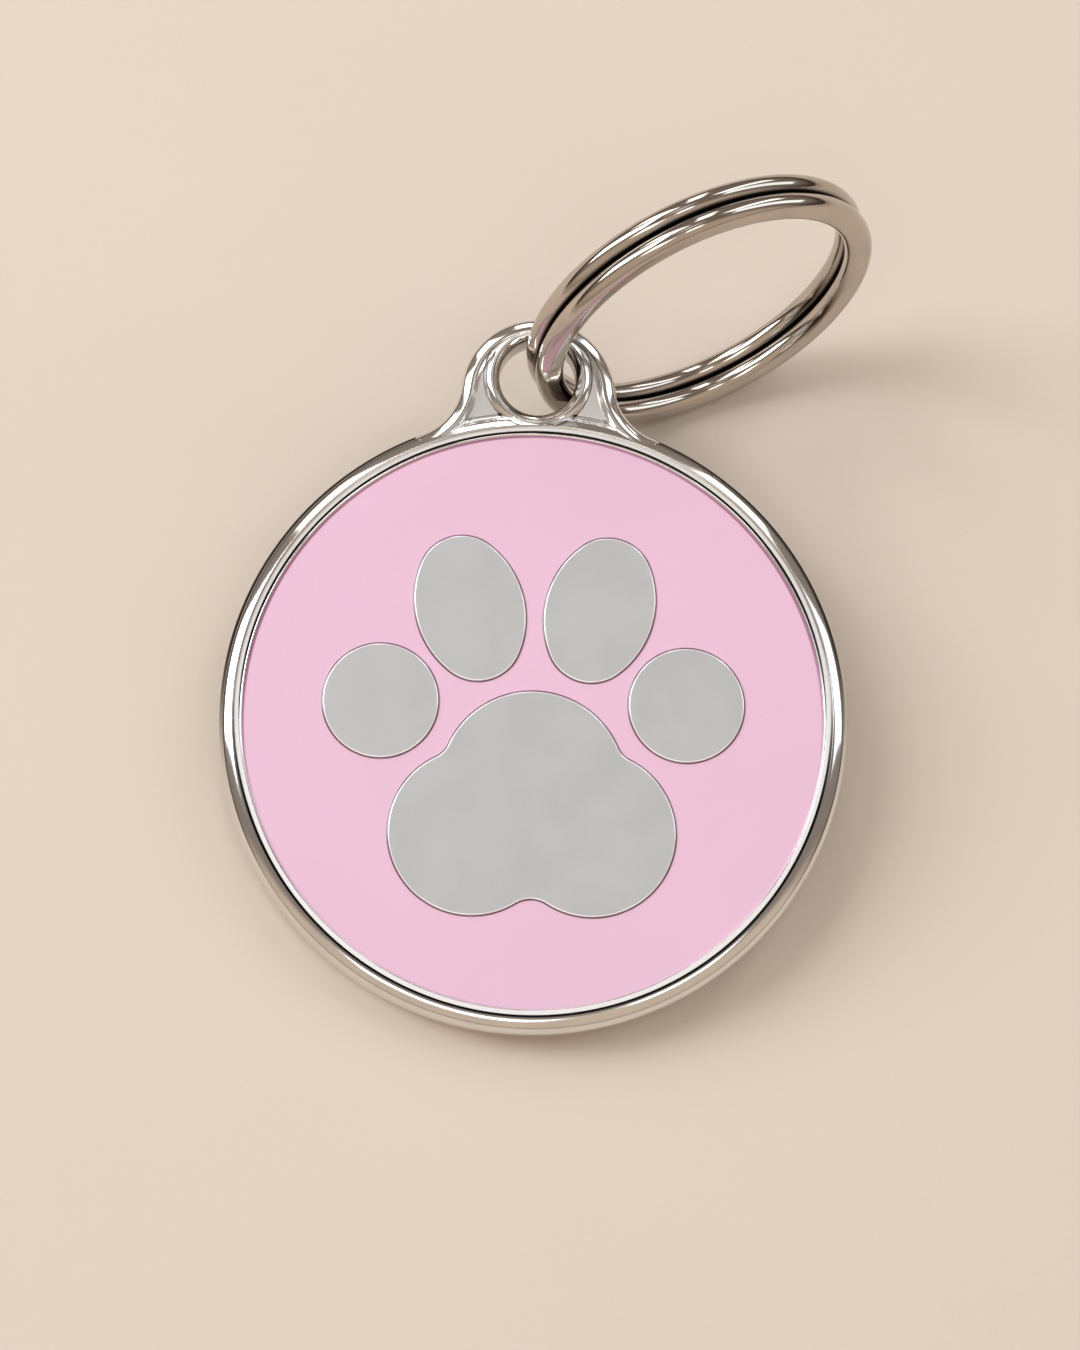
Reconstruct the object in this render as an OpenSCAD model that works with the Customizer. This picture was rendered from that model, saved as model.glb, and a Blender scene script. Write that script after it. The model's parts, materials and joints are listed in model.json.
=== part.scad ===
// Pet id tag: a round cast tag with a bead rim and an eye at the top,
// a pink enamel field with a paw of five flush metal pads, and a two-turn
// split ring through the eye. Lengths in millimetres, angles in degrees.
// The tag is drawn flat (X right, Y towards the eye, Z out of the face,
// zero at half thickness) and then laid as it rests on a table: the low
// edge of the rim and the lowest point of the ring both touch the floor.

/* [Disc] */
// Diameter over the rim
disc_d = 30; // [20:0.5:50]
// Thickness over the rim beads
disc_t = 2.2; // [1.6:0.1:4]
// Width of the rounded bead around the rim
bead_w = 0.8; // [0.5:0.05:1.5]
// Width of the rim, the bead and the inner lip together
rim_w = 1.25; // [1:0.05:3]
// Depth of the bead's inner edge below its top
crease_drop = 0.16; // [0.05:0.01:0.4]
// Depth of the enamel below the bead's top
enamel_drop = 0.3; // [0.1:0.01:0.6]
// Depth of the enamel layer
enamel_t = 0.7; // [0.3:0.05:1.2]

/* [Eye] */
// Distance of the arch's centre outside the disc's edge
arch_out = 0.95; // [0:0.05:4]
// Radius of the arch's outline
arch_r = 3.75; // [2.5:0.05:8]
// Width of the rounded bead along the arch
arch_bead_w = 0.76; // [0.4:0.02:1.5]
// Thickness over the arch's bead
arch_t = 2.1; // [1.2:0.1:4]
// Radius of the hollow sweep from the arch into the rim
flare_r = 3; // [1:0.1:8]
// Depth by which the sweep runs into the rim
flare_sink = 0.06; // [0.02:0.01:0.3]
// Distance of the hole's centre above the arch's centre
hole_up = 0.85; // [0:0.05:2]
// Diameter of the hole
hole_d = 3.9; // [2:0.05:8]
// Width of the round lip about the hole
lip_w = 0.66; // [0.3:0.02:1.2]
// Thickness of the lip
lip_t = 2; // [1:0.1:4]
// Thickness of the flat web between the lip and the bead
web_t = 1.2; // [0.6:0.1:3]

/* [Paw] */
// Outer toes: centre above the disc's centre
outer_y = 0.76; // [-2:0.02:4]
// Outer toes: radius
outer_r = 2.75; // [1:0.05:5]
// Outer toes: overlap with the inner toes, sideways
toe_lap = 1.17; // [0:0.01:2]
// Inner toes: sideways clearance from the middle to a toe without its lean
inner_clear = 0.5; // [0.3:0.02:2]
// Inner toes: centre above the disc's centre
inner_y = 5.31; // [3:0.02:10]
// Inner toes: length
inner_l = 7.16; // [3:0.02:12]
// Inner toes: width
inner_w = 5.2; // [2:0.02:10]
// Inner toes: radius of the round ends
inner_end_r = 2.1; // [0.8:0.05:4]
// Inner toes: outward lean
inner_lean = 15.5; // [0:0.5:40]
// Main pad: centre of the dome above the disc's centre
dome_y = -3.07; // [-6:0.02:0]
// Main pad: radius of the dome
dome_r = 4.38; // [2:0.02:8]
// Main pad: centre of a lobe from the middle, sideways
lobe_x = 2.85; // [1:0.02:6]
// Main pad: centre of the lobes above the disc's centre
lobe_y = -5.48; // [-9:0.02:-2]
// Main pad: radius of the lobes
lobe_r = 3.96; // [2:0.02:7]
// Radius of the hollow between dome and lobe
shoulder_r = 1.2; // [0.4:0.1:3]
// Radius of the hollow between the lobes
notch_r = 1.4; // [0.4:0.1:3]
// Height of the pads over the enamel
pad_rise = 0.12; // [0:0.01:0.4]
// Width and height of the small step around each pad
pad_step = 0.08; // [0.02:0.01:0.2]

/* [Split ring] */
// Inside diameter
ring_inner_d = 15; // [8:0.5:30]
// Width of the wire across its ring
wire_w = 1.4; // [0.8:0.05:3]
// Thickness of the wire along the ring's axis
wire_t = 1.04; // [0.6:0.02:3]
// Hairline between the two turns
turn_gap = 0.05; // [0.02:0.01:0.3]
// Angle over which the wire steps from one turn to the other
step_angle = 16; // [14:1:90]
// Angle between a free end of the wire and the step
end_angle = 3; // [1:1:20]
// Where the step is, counted from the side opposite the eye
step_at = 211; // [0:1:359]

/* [Ring in the eye] */
// Wire's centre from the hole's centre, sideways
wire_x = 0.55; // [-1:0.05:1]
// Wire's centre above the hole's centre
wire_y = 0.05; // [-0.5:0.05:0.5]
// Direction of the ring from the hole, counted from the tag's right
ring_dir = 24.5; // [-25:0.5:205]
// Angle between the ring's plane and the tag's plane
ring_lean = 76.4; // [70:0.1:90]
// Height of the ring's centre over the tag, as an angle at the eye
ring_lift = 9.2; // [-15:0.1:15]

/* [Rest] */
// Direction in which the tag's plane rises, counted from the eye to the right
rise_dir = 24; // [-45:1:45]

/* [Hidden] */
$fn = 96;

disc_r = disc_d / 2;
half_t = disc_t / 2;
bead_r = bead_w / 2;
enamel_r = disc_r - rim_w;
enamel_z = half_t - enamel_drop;
floor_z = enamel_z - enamel_t;
pad_z = enamel_z + pad_rise;
arch_y = disc_r + arch_out;
hole_y = arch_y + hole_up;
hole_r = hole_d / 2;
lip_r = lip_w / 2;
over = 1;
// Hollows are cut this much deeper than tangent, so that arcs cross cleanly.
bite = 0.01;

// Hollow sweep: its centre is a flare radius off the arch, and less the sink
// off the rim.
flare_off = disc_r - flare_sink + flare_r;
flare_y = (pow(flare_off, 2) - pow(arch_r + flare_r, 2) + pow(arch_y, 2)) / (2 * arch_y);
flare_x = sqrt(pow(flare_off, 2) - pow(flare_y, 2));
arch_from = atan2(flare_y - arch_y, flare_x);
flare_to = atan2(flare_y, flare_x);

inner_x = inner_w / 2 + inner_clear;
outer_x = inner_x + inner_w / 2 + outer_r - toe_lap;
// Side arcs of an inner toe, tangent to its round ends.
end_y = inner_l / 2 - inner_end_r;
side_r = (pow(end_y, 2) + pow(inner_w / 2, 2) - pow(inner_end_r, 2))
         / (inner_w - 2 * inner_end_r);
side_x = side_r - inner_w / 2;

// Centre of the hollow that touches two circles, to the left on the way from
// a to b: a circle is [x, y, r].
function gap2(a, b) = pow(a[0] - b[0], 2) + pow(a[1] - b[1], 2);
function along(a, b, r) =
    (pow(a[2] + r, 2) - pow(b[2] + r, 2) + gap2(a, b)) / (2 * sqrt(gap2(a, b)));
function across(a, b, r) = sqrt(pow(a[2] + r, 2) - pow(along(a, b, r), 2));
function hollow(a, b, r) =
    let (d = sqrt(gap2(a, b)), ux = (b[0] - a[0]) / d, uy = (b[1] - a[1]) / d)
    [a[0] + along(a, b, r) * ux - across(a, b, r) * uy,
     a[1] + along(a, b, r) * uy + across(a, b, r) * ux];
shoulder_at = hollow([0, dome_y, dome_r], [lobe_x, lobe_y, lobe_r], shoulder_r);
notch_at = hollow([lobe_x, lobe_y, lobe_r], [-lobe_x, lobe_y, lobe_r], notch_r);

// Split ring.
turn_r = (ring_inner_d + wire_w) / 2;
pitch = wire_t + turn_gap;
wire_end_r = wire_t / 2;
flat_w = wire_w - wire_t;
step_lean = asin(pitch / 2 / (turn_r * sin(step_angle / 2)));
// The step runs this far into both turns.
step_lap = 1.5;
coil_angle = 360 - step_angle - end_angle;

// Direction of the ring's axis and place of its centre in the tag's frame.
axis_t = [sin(ring_dir) * sin(ring_lean), -cos(ring_dir) * sin(ring_lean), cos(ring_lean)];
to_centre = [cos(ring_lift), sin(ring_lift) * cos(ring_lean), sin(ring_lift) * sin(ring_lean)];
centre_t = [wire_x + turn_r * (cos(ring_dir) * to_centre[0] - sin(ring_dir) * to_centre[1]),
            hole_y + wire_y
            + turn_r * (sin(ring_dir) * to_centre[0] + cos(ring_dir) * to_centre[1]),
            turn_r * to_centre[2]];

// A direction of the tag's frame as it lies at a tilt.
function risen(v) = [v[0] * cos(rise_dir) - v[1] * sin(rise_dir),
                     v[0] * sin(rise_dir) + v[1] * cos(rise_dir), v[2]];
function tipped(v, tilt) = [v[0], v[1] * cos(tilt) - v[2] * sin(tilt),
                            v[1] * sin(tilt) + v[2] * cos(tilt)];
function lowered(v) = [v[0] * cos(rise_dir) + v[1] * sin(rise_dir),
                       -v[0] * sin(rise_dir) + v[1] * cos(rise_dir), v[2]];
function lying(v, tilt) = lowered(tipped(risen(v), tilt));

// Reach of the rim and of the ring from their centres along a direction that
// has the share c in common with their axes.
function rim_reach(c) = (disc_r - bead_r) * sqrt(1 - c * c) + (half_t - bead_r) * abs(c) + bead_r;
function ring_reach(c) = (turn_r + flat_w / 2) * sqrt(1 - c * c) + pitch / 2 * abs(c) + wire_end_r;

// Tilt at which the rim and the ring both stand on the floor, by halving.
halvings = 40;
steepest = 45;
function ring_low(tilt) =
    rim_reach(cos(tilt)) + lying(centre_t, tilt)[2] - ring_reach(lying(axis_t, tilt)[2]);
function rest(lo, hi, n) =
    let (mid = (lo + hi) / 2)
    n < 1 ? mid : ring_low(mid) > 0 ? rest(lo, mid, n - 1) : rest(mid, hi, n - 1);
rest_tilt = rest(0, steepest, halvings);

// The floor is at zero, and the middle of the whole box over the origin.
face_axis = lying([0, 0, 1], rest_tilt);
ring_axis = lying(axis_t, rest_tilt);
ring_mid = lying(centre_t, rest_tilt);
arch_top = lying([0, arch_y + arch_r, 0], rest_tilt);
low = [for (i = [0, 1]) min(-rim_reach(face_axis[i]), ring_mid[i] - ring_reach(ring_axis[i]))];
high = [for (i = [0, 1]) max(rim_reach(face_axis[i]), arch_top[i],
                             ring_mid[i] + ring_reach(ring_axis[i]))];
tag_at = [-(low[0] + high[0]) / 2, -(low[1] + high[1]) / 2, rim_reach(face_axis[2])];

module laid() {
    translate(tag_at)
        rotate([0, 0, -rise_dir])
            rotate([rest_tilt, 0, 0])
                rotate([0, 0, rise_dir])
                    children();
}

// Upright section with round top and bottom, from x to x + w.
module bead_section(x, w, t) {
    for (s = [-1, 1])
        translate([x + w / 2, s * (t - w) / 2])
            circle(r = w / 2);
    translate([x, -(t - w) / 2])
        square([w, t - w]);
}

module disc_section() {
    bead_section(disc_r - bead_w, bead_w, disc_t);
    translate([0, -half_t])
        square([disc_r - bead_r, floor_z + half_t]);
    translate([enamel_r, -half_t])
        square([disc_r - bead_r - enamel_r, enamel_z + half_t]);
    polygon([[enamel_r, enamel_z],
             [disc_r - bead_r, enamel_z],
             [disc_r - bead_r, half_t - crease_drop],
             [disc_r - bead_w, half_t - crease_drop]]);
}

// The web ends under the middle of the beads.
module web_outline() {
    difference() {
        union() {
            translate([0, arch_y])
                circle(r = arch_r - arch_bead_w / 2);
            difference() {
                polygon([[0, 0], [flare_x, flare_y], [0, arch_y], [-flare_x, flare_y]]);
                for (s = [-1, 1])
                    translate([s * flare_x, flare_y])
                        circle(r = flare_r + arch_bead_w / 2 + bite);
            }
        }
        circle(r = disc_r - bead_r);
        translate([0, hole_y])
            circle(r = hole_r + lip_r);
    }
}

module eye() {
    translate([0, 0, -web_t / 2])
        linear_extrude(height = web_t)
            web_outline();
    translate([0, arch_y, 0])
        rotate([0, 0, arch_from])
            rotate_extrude(angle = 180 - 2 * arch_from)
                bead_section(arch_r - arch_bead_w, arch_bead_w, arch_t);
    for (m = [0, 1])
        mirror([m, 0, 0])
            translate([flare_x, flare_y, 0])
                rotate([0, 0, 180 + arch_from])
                    rotate_extrude(angle = flare_to - arch_from)
                        bead_section(flare_r, arch_bead_w, arch_t);
    translate([0, hole_y, 0])
        rotate_extrude()
            bead_section(hole_r, lip_w, lip_t);
}

module tag_body() {
    color("silver")
        laid() {
            difference() {
                rotate_extrude()
                    disc_section();
                translate([0, hole_y, -half_t - over])
                    cylinder(r = hole_r + lip_r / 2, h = disc_t + 2 * over);
            }
            eye();
        }
}

module inner_outline(inset) {
    intersection() {
        translate([-side_x, 0])
            circle(r = side_r - inset);
        translate([side_x, 0])
            circle(r = side_r - inset);
        square([inner_w, 2 * (side_r - inset) * end_y / (side_r - inner_end_r)], center = true);
    }
    for (s = [-1, 1])
        translate([0, s * end_y])
            circle(r = inner_end_r - inset);
}

module main_outline(inset) {
    for (s = [-1, 1])
        translate([s * lobe_x, lobe_y])
            circle(r = lobe_r - inset);
    translate([0, dome_y])
        circle(r = dome_r - inset);
    difference() {
        polygon([[0, dome_y], shoulder_at, [lobe_x, lobe_y], notch_at,
                 [-lobe_x, lobe_y], [-shoulder_at[0], shoulder_at[1]]]);
        translate(shoulder_at)
            circle(r = shoulder_r + inset + bite);
        translate([-shoulder_at[0], shoulder_at[1]])
            circle(r = shoulder_r + inset + bite);
        translate(notch_at)
            circle(r = notch_r + inset + bite);
    }
}

module enamel_field() {
    color("pink")
        laid()
            translate([0, 0, floor_z])
                linear_extrude(height = enamel_t)
                    difference() {
                        circle(r = enamel_r);
                        main_outline(0);
                        for (m = [0, 1])
                            mirror([m, 0]) {
                                translate([outer_x, outer_y])
                                    circle(r = outer_r);
                                translate([inner_x, inner_y])
                                    rotate(-inner_lean)
                                        inner_outline(0);
                            }
                    }
}

// A pad: its outline from the pocket's floor, and the outline drawn in by
// the step for the last of its height.
module pad_body(z) {
    translate([0, 0, floor_z])
        linear_extrude(height = z - floor_z)
            children();
}

module main_pad() {
    color("gainsboro")
        laid() {
            pad_body(pad_z - pad_step)
                main_outline(0);
            pad_body(pad_z)
                main_outline(pad_step);
        }
}

module inner_toe_pad(side) {
    color("gainsboro")
        laid()
            translate([side * inner_x, inner_y, 0])
                rotate([0, 0, -side * inner_lean]) {
                    pad_body(pad_z - pad_step)
                        inner_outline(0);
                    pad_body(pad_z)
                        inner_outline(pad_step);
                }
}

module outer_toe_pad(side) {
    color("gainsboro")
        laid()
            translate([side * outer_x, outer_y, 0]) {
                pad_body(pad_z - pad_step)
                    circle(r = outer_r);
                pad_body(pad_z)
                    circle(r = outer_r - pad_step);
            }
}

module inner_left_toe() {
    inner_toe_pad(-1);
}

module inner_right_toe() {
    inner_toe_pad(1);
}

module outer_left_toe() {
    outer_toe_pad(-1);
}

module outer_right_toe() {
    outer_toe_pad(1);
}

// Section of the wire: flat on the faces where the turns meet, round at
// the inside and the outside of the ring.
module wire_section() {
    for (s = [-1, 1])
        translate([turn_r + s * flat_w / 2, 0])
            circle(r = wire_end_r);
    translate([turn_r - flat_w / 2, -wire_end_r])
        square([flat_w, wire_t]);
}

// One turn, a full circle less the step and the free end.
module coil(from) {
    rotate([0, 0, from])
        rotate_extrude(angle = coil_angle)
            wire_section();
}

module split_ring() {
    color("lightgray")
        laid()
            translate([wire_x, hole_y + wire_y, 0])
                rotate([0, 0, ring_dir])
                    rotate([ring_lean, 0, 0])
                        rotate([0, 0, ring_lift])
                            translate([turn_r, 0, 0])
                                rotate([0, 0, step_at]) {
                                    translate([0, 0, -pitch / 2])
                                        coil(step_angle / 2 + end_angle);
                                    translate([0, 0, pitch / 2])
                                        coil(step_angle / 2);
                                    rotate([step_lean, 0, 0])
                                        rotate([0, 0, -step_angle / 2 - step_lap])
                                            rotate_extrude(angle = step_angle + 2 * step_lap)
                                                wire_section();
                                }
}

tag_body();
enamel_field();
main_pad();
inner_left_toe();
inner_right_toe();
outer_left_toe();
outer_right_toe();
split_ring();
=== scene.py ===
"""The looks of a round pet id tag with an enamel paw and a split ring.

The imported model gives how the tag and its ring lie. Every surface is worked
out in millimetres in the tag's or the ring's own axes and laid in the frame.
"""

import json
import logging
import math
from dataclasses import dataclass
from enum import Enum

import bmesh
import bpy
import numpy as np
from mathutils import Matrix, Vector
from mathutils.geometry import delaunay_2d_cdt


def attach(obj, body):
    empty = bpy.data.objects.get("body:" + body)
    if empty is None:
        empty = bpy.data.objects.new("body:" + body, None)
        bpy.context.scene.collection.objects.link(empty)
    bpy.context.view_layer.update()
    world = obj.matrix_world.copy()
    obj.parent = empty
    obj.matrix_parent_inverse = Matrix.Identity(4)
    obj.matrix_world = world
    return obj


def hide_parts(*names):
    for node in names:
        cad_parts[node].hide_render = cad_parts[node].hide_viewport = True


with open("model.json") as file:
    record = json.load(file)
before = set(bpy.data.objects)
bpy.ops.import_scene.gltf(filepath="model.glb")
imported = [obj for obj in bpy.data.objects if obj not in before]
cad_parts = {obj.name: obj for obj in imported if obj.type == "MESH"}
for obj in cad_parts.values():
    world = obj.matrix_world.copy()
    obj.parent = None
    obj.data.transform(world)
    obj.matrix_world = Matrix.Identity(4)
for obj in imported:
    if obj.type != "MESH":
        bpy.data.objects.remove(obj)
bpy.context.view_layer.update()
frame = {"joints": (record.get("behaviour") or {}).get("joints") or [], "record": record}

LOG = logging.getLogger("pet_id_tag")
Array = np.ndarray
Colour = tuple[float, float, float]
Socket = bpy.types.NodeSocket
MM = 0.001
# Points that agree to this many mm are one point.
MERGE = 1e-4
# Every outer surface lies this much inside the solid that it stands for, in mm.
SKIN = 0.012
# A row of points this far from a corner keeps the corner sharp, in mm.
CLOSE = 0.02
# The number that every mesh carries at its points: from 0 to 1 for painted
# shade in creases and along the enamel's edges, or for the pads' bevel with
# its painted highlight, and from 0 to -1 for satin.
MARK = "edge"
# The wire's UV map.
WIRE_MAP = "wire"


class Body(Enum):
    """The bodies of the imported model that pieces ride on."""

    TAG = "tag"
    RING = "ring"


class Slot(Enum):
    """The record's material slots."""

    POLISHED = "polished_metal"
    ENAMEL = "pink_enamel"
    SATIN = "satin_metal"
    WIRE = "ring_wire"


def unit(vector: Array) -> Array:
    """Returns the vector over its own length."""
    return vector / np.linalg.norm(vector)


def smooth(share: Array) -> Array:
    """Formula: 3 s^2 - 2 s^3, with s held between 0 and 1."""
    held = np.clip(share, 0.0, 1.0)
    return held * held * (3.0 - 2.0 * held)


def soft_max(first: Array, second: Array, reach: float) -> Array:
    """The greater of two heights, with a fillet where they are about equal.

    Formula: max(a, b) + reach q^2 / 4, where q is 1 - |a - b| / reach, or 0
    where that is negative.

    Args:
        first: heights in mm.
        second: heights in mm.
        reach: difference of height at which the fillet ends, in mm.

    Returns:
        The joined heights.
    """
    nearness = np.maximum(1.0 - np.abs(first - second) / reach, 0.0)
    return np.maximum(first, second) + reach * nearness * nearness / 4.0


def round_angles(count: int) -> Array:
    """So many angles once round, in radians."""
    return np.linspace(0.0, 2.0 * math.pi, count, endpoint=False)


def rays(angle: Array) -> Array:
    """Formula: (cos a, sin a) along a new last axis."""
    return np.stack([np.cos(angle), np.sin(angle)], -1)


def raised(flat: Array, height: Array | float) -> Array:
    """Gives points of a plane their heights, as the third of their numbers."""
    return np.concatenate([flat, np.broadcast_to(height, flat.shape[:-1])[..., None]], -1)


def direction(azimuth: float, elevation: float) -> Array:
    """Direction of a bearing from the front and a height above level.

    Formula: (sin a cos e, -cos a cos e, sin e).

    Args:
        azimuth: bearing in degrees, counterclockwise from the front.
        elevation: height in degrees.

    Returns:
        The direction, of length 1.
    """
    around, up = math.radians(azimuth), math.radians(elevation)
    return np.array([math.sin(around) * math.cos(up), -math.cos(around) * math.cos(up),
                     math.sin(up)])


@dataclass(frozen=True)
class Lie:
    """Where a thing's own axes are in the frame."""

    origin: Array
    x: Array
    y: Array
    z: Array

    def place(self, points: Array) -> Array:
        """Formula: origin + x px + y py + z pz, from own mm to the frame's metres."""
        return self.origin + MM * (points @ np.stack([self.x, self.y, self.z]))


@dataclass(frozen=True)
class Arc:
    """Part of a circle in a plane. A negative sweep is a hollow in an outline."""

    x: float
    y: float
    radius: float
    start: float = 0.0
    sweep: float = 360.0

    @property
    def middle(self) -> Array:
        """The circle's centre."""
        return np.array([self.x, self.y])

    def points(self, inset: float, spacing: float) -> Array:
        """Points along the arc, drawn in by an inset.

        Formula: centre + (radius - inset) (cos a, sin a), and radius + inset
        for a hollow.

        Args:
            inset: distance towards the inside of the outline, in mm.
            spacing: the most between two points, in mm.

        Returns:
            An array of x and y.
        """
        count = 1 + max(2, math.ceil(math.radians(abs(self.sweep)) * self.radius / spacing))
        angle = np.radians(self.start + self.sweep * np.linspace(0.0, 1.0, count))
        radius = self.radius - math.copysign(1.0, self.sweep) * inset
        return self.middle + radius * rays(angle)


@dataclass(frozen=True)
class Outline:
    """A closed outline of arcs, counterclockwise, about a middle."""

    arcs: tuple[Arc, ...]
    middle: tuple[float, float]

    def loop(self, inset: float, spacing: float) -> Array:
        """The outline's points, drawn in by the inset, each once."""
        return np.concatenate([arc.points(inset, spacing)[:-1] for arc in self.arcs])


def stadium(width: float, height: float, count: int) -> Array:
    """A section with parallel sides and round ends above and below.

    Formula: half circles of radius width / 2 about (0, +-(height - width) / 2).

    Args:
        width: size along the first axis, in mm.
        height: size along the second axis, in mm.
        count: points of each half circle.

    Returns:
        The section's points, counterclockwise.
    """
    radius, lift = width / 2.0, (height - width) / 2.0
    upper = np.array([0.0, lift]) + radius * rays(np.linspace(0.0, math.pi, count))
    return np.concatenate([upper, -upper])


class Skin:
    """One closed mesh, gathered from grids and facets of points in mm."""

    def __init__(self) -> None:
        """Starts with no points."""
        self.points: list[Array] = []
        self.quads: list[Array] = []
        self.triangles: list[Array] = []
        self.marks: list[Array] = []
        self.count = 0

    def _gather(self, points: Array, mark: Array | None) -> None:
        """Keeps points and their marks.

        Args:
            points: an array of points.
            mark: a number for each, or None for 0.
        """
        self.points.append(points)
        self.marks.append(np.zeros(len(points)) if mark is None else mark.reshape(-1))
        self.count += len(points)

    def grid(self, points: Array, wrap_rows: bool = False, wrap_columns: bool = False,
             mark: Array | None = None) -> None:
        """Adds a grid of points with a face between each four.

        Args:
            points: an array of rows by columns by 3.
            wrap_rows: the last row is joined to the first.
            wrap_columns: the last column is joined to the first.
            mark: rows by columns, the points' marks.
        """
        rows, columns = points.shape[:2]
        index = np.arange(rows * columns).reshape(rows, columns) + self.count
        if wrap_rows:
            index = np.concatenate([index, index[:1]], 0)
        if wrap_columns:
            index = np.concatenate([index, index[:, :1]], 1)
        corners = [index[:-1, :-1], index[1:, :-1], index[1:, 1:], index[:-1, 1:]]
        self.quads.append(np.stack(corners, -1).reshape(-1, 4))
        self._gather(points.reshape(-1, 3), mark)

    def facets(self, points: Array, triangles: Array) -> None:
        """Adds triangles between the given points."""
        self.triangles.append(triangles + self.count)
        self._gather(points, None)

    def mesh(self, name: str, lie: Lie) -> bpy.types.Mesh:
        """Merges the points that coincide and makes the mesh.

        Args:
            name: the mesh's name.
            lie: the axes that the points are in.

        Returns:
            A mesh with its faces outwards and the marks as an attribute.
        """
        points = np.concatenate(self.points)
        keys = np.round(points / MERGE).astype(np.int64)
        _, first, back = np.unique(keys, axis=0, return_index=True, return_inverse=True)
        back = back.reshape(-1)
        quads = back[np.concatenate(self.quads)]
        shut = quads == np.roll(quads, -1, 1)
        whole, pinched = shut.sum(1) == 0, shut.sum(1) == 1
        triangles = [quads[pinched][~shut[pinched]].reshape(-1, 3)]
        if self.triangles:
            triangles.append(back[np.concatenate(self.triangles)])
        faces = quads[whole].tolist() + np.concatenate(triangles).tolist()
        mesh = bpy.data.meshes.new(name)
        mesh.from_pydata(lie.place(points[first]), [], faces)
        mark = mesh.attributes.new(MARK, "FLOAT", "POINT")
        mark.data.foreach_set("value", np.concatenate(self.marks)[first].astype(np.float32))
        shell = bmesh.new()
        shell.from_mesh(mesh)
        bmesh.ops.recalc_face_normals(shell, faces=shell.faces)
        shell.to_mesh(mesh)
        shell.free()
        mesh.polygons.foreach_set("use_smooth", np.ones(len(mesh.polygons), bool))
        mesh.update()
        return mesh


def add_object(name: str, data: bpy.types.ID) -> bpy.types.Object:
    """Puts a mesh, a lamp or a camera into the scene.

    Args:
        name: the object's name.
        data: what it shows.

    Returns:
        The new object.
    """
    thing = bpy.data.objects.new(name, data)
    bpy.context.scene.collection.objects.link(thing)
    return thing


def make_piece(name: str, skin: Skin, lie: Lie, body: Body,
               material: bpy.types.Material, node: str) -> bpy.types.Object:
    """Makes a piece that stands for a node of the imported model.

    Args:
        name: the piece's name.
        skin: its surface.
        lie: the axes that the surface is in.
        body: what it rides on.
        material: its finish.
        node: the node that it stands for.

    Returns:
        The new object.
    """
    piece = add_object(name, skin.mesh(name, lie))
    piece.data.materials.append(material)
    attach(piece, body.value)
    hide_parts(node)
    LOG.info("%s: %d faces, rides on %s", name, len(piece.data.polygons), body.value)
    return piece


class Value:
    """A number in a shader. Arithmetic on it adds Math nodes."""

    def __init__(self, shader: "Shader", socket: Socket) -> None:
        """Wraps a socket of the shader's tree."""
        self.shader = shader
        self.socket = socket

    def __add__(self, other: "Value | float") -> "Value":
        """This plus the other."""
        return self.shader.math("ADD", self, other)

    def __radd__(self, other: float) -> "Value":
        """The other plus this."""
        return self.shader.math("ADD", other, self)

    def __sub__(self, other: "Value | float") -> "Value":
        """This less the other."""
        return self.shader.math("SUBTRACT", self, other)

    def __rsub__(self, other: float) -> "Value":
        """The other less this."""
        return self.shader.math("SUBTRACT", other, self)

    def __mul__(self, other: "Value | float") -> "Value":
        """This times the other."""
        return self.shader.math("MULTIPLY", self, other)

    def __rmul__(self, other: float) -> "Value":
        """The other times this."""
        return self.shader.math("MULTIPLY", other, self)

    def over(self, low: float, high: float) -> "Value":
        """Rises smoothly from 0 at low to 1 at high."""
        node = self.shader.node("ShaderNodeMapRange", {"interpolation_type": "SMOOTHSTEP"},
                                {"Value": self, "From Min": low, "From Max": high})
        return Value(self.shader, node.outputs["Result"])


@dataclass(frozen=True)
class Patches:
    """Noise with so many lumps to a mm, rising from 0 to 1 between two levels."""

    scale: float
    detail: float
    low: float
    high: float


@dataclass(frozen=True)
class Scratches:
    """Fine lines at a turn in degrees, rising from 0 to 1 between two levels."""

    along: float
    across: float
    turn: float
    low: float
    high: float


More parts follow.
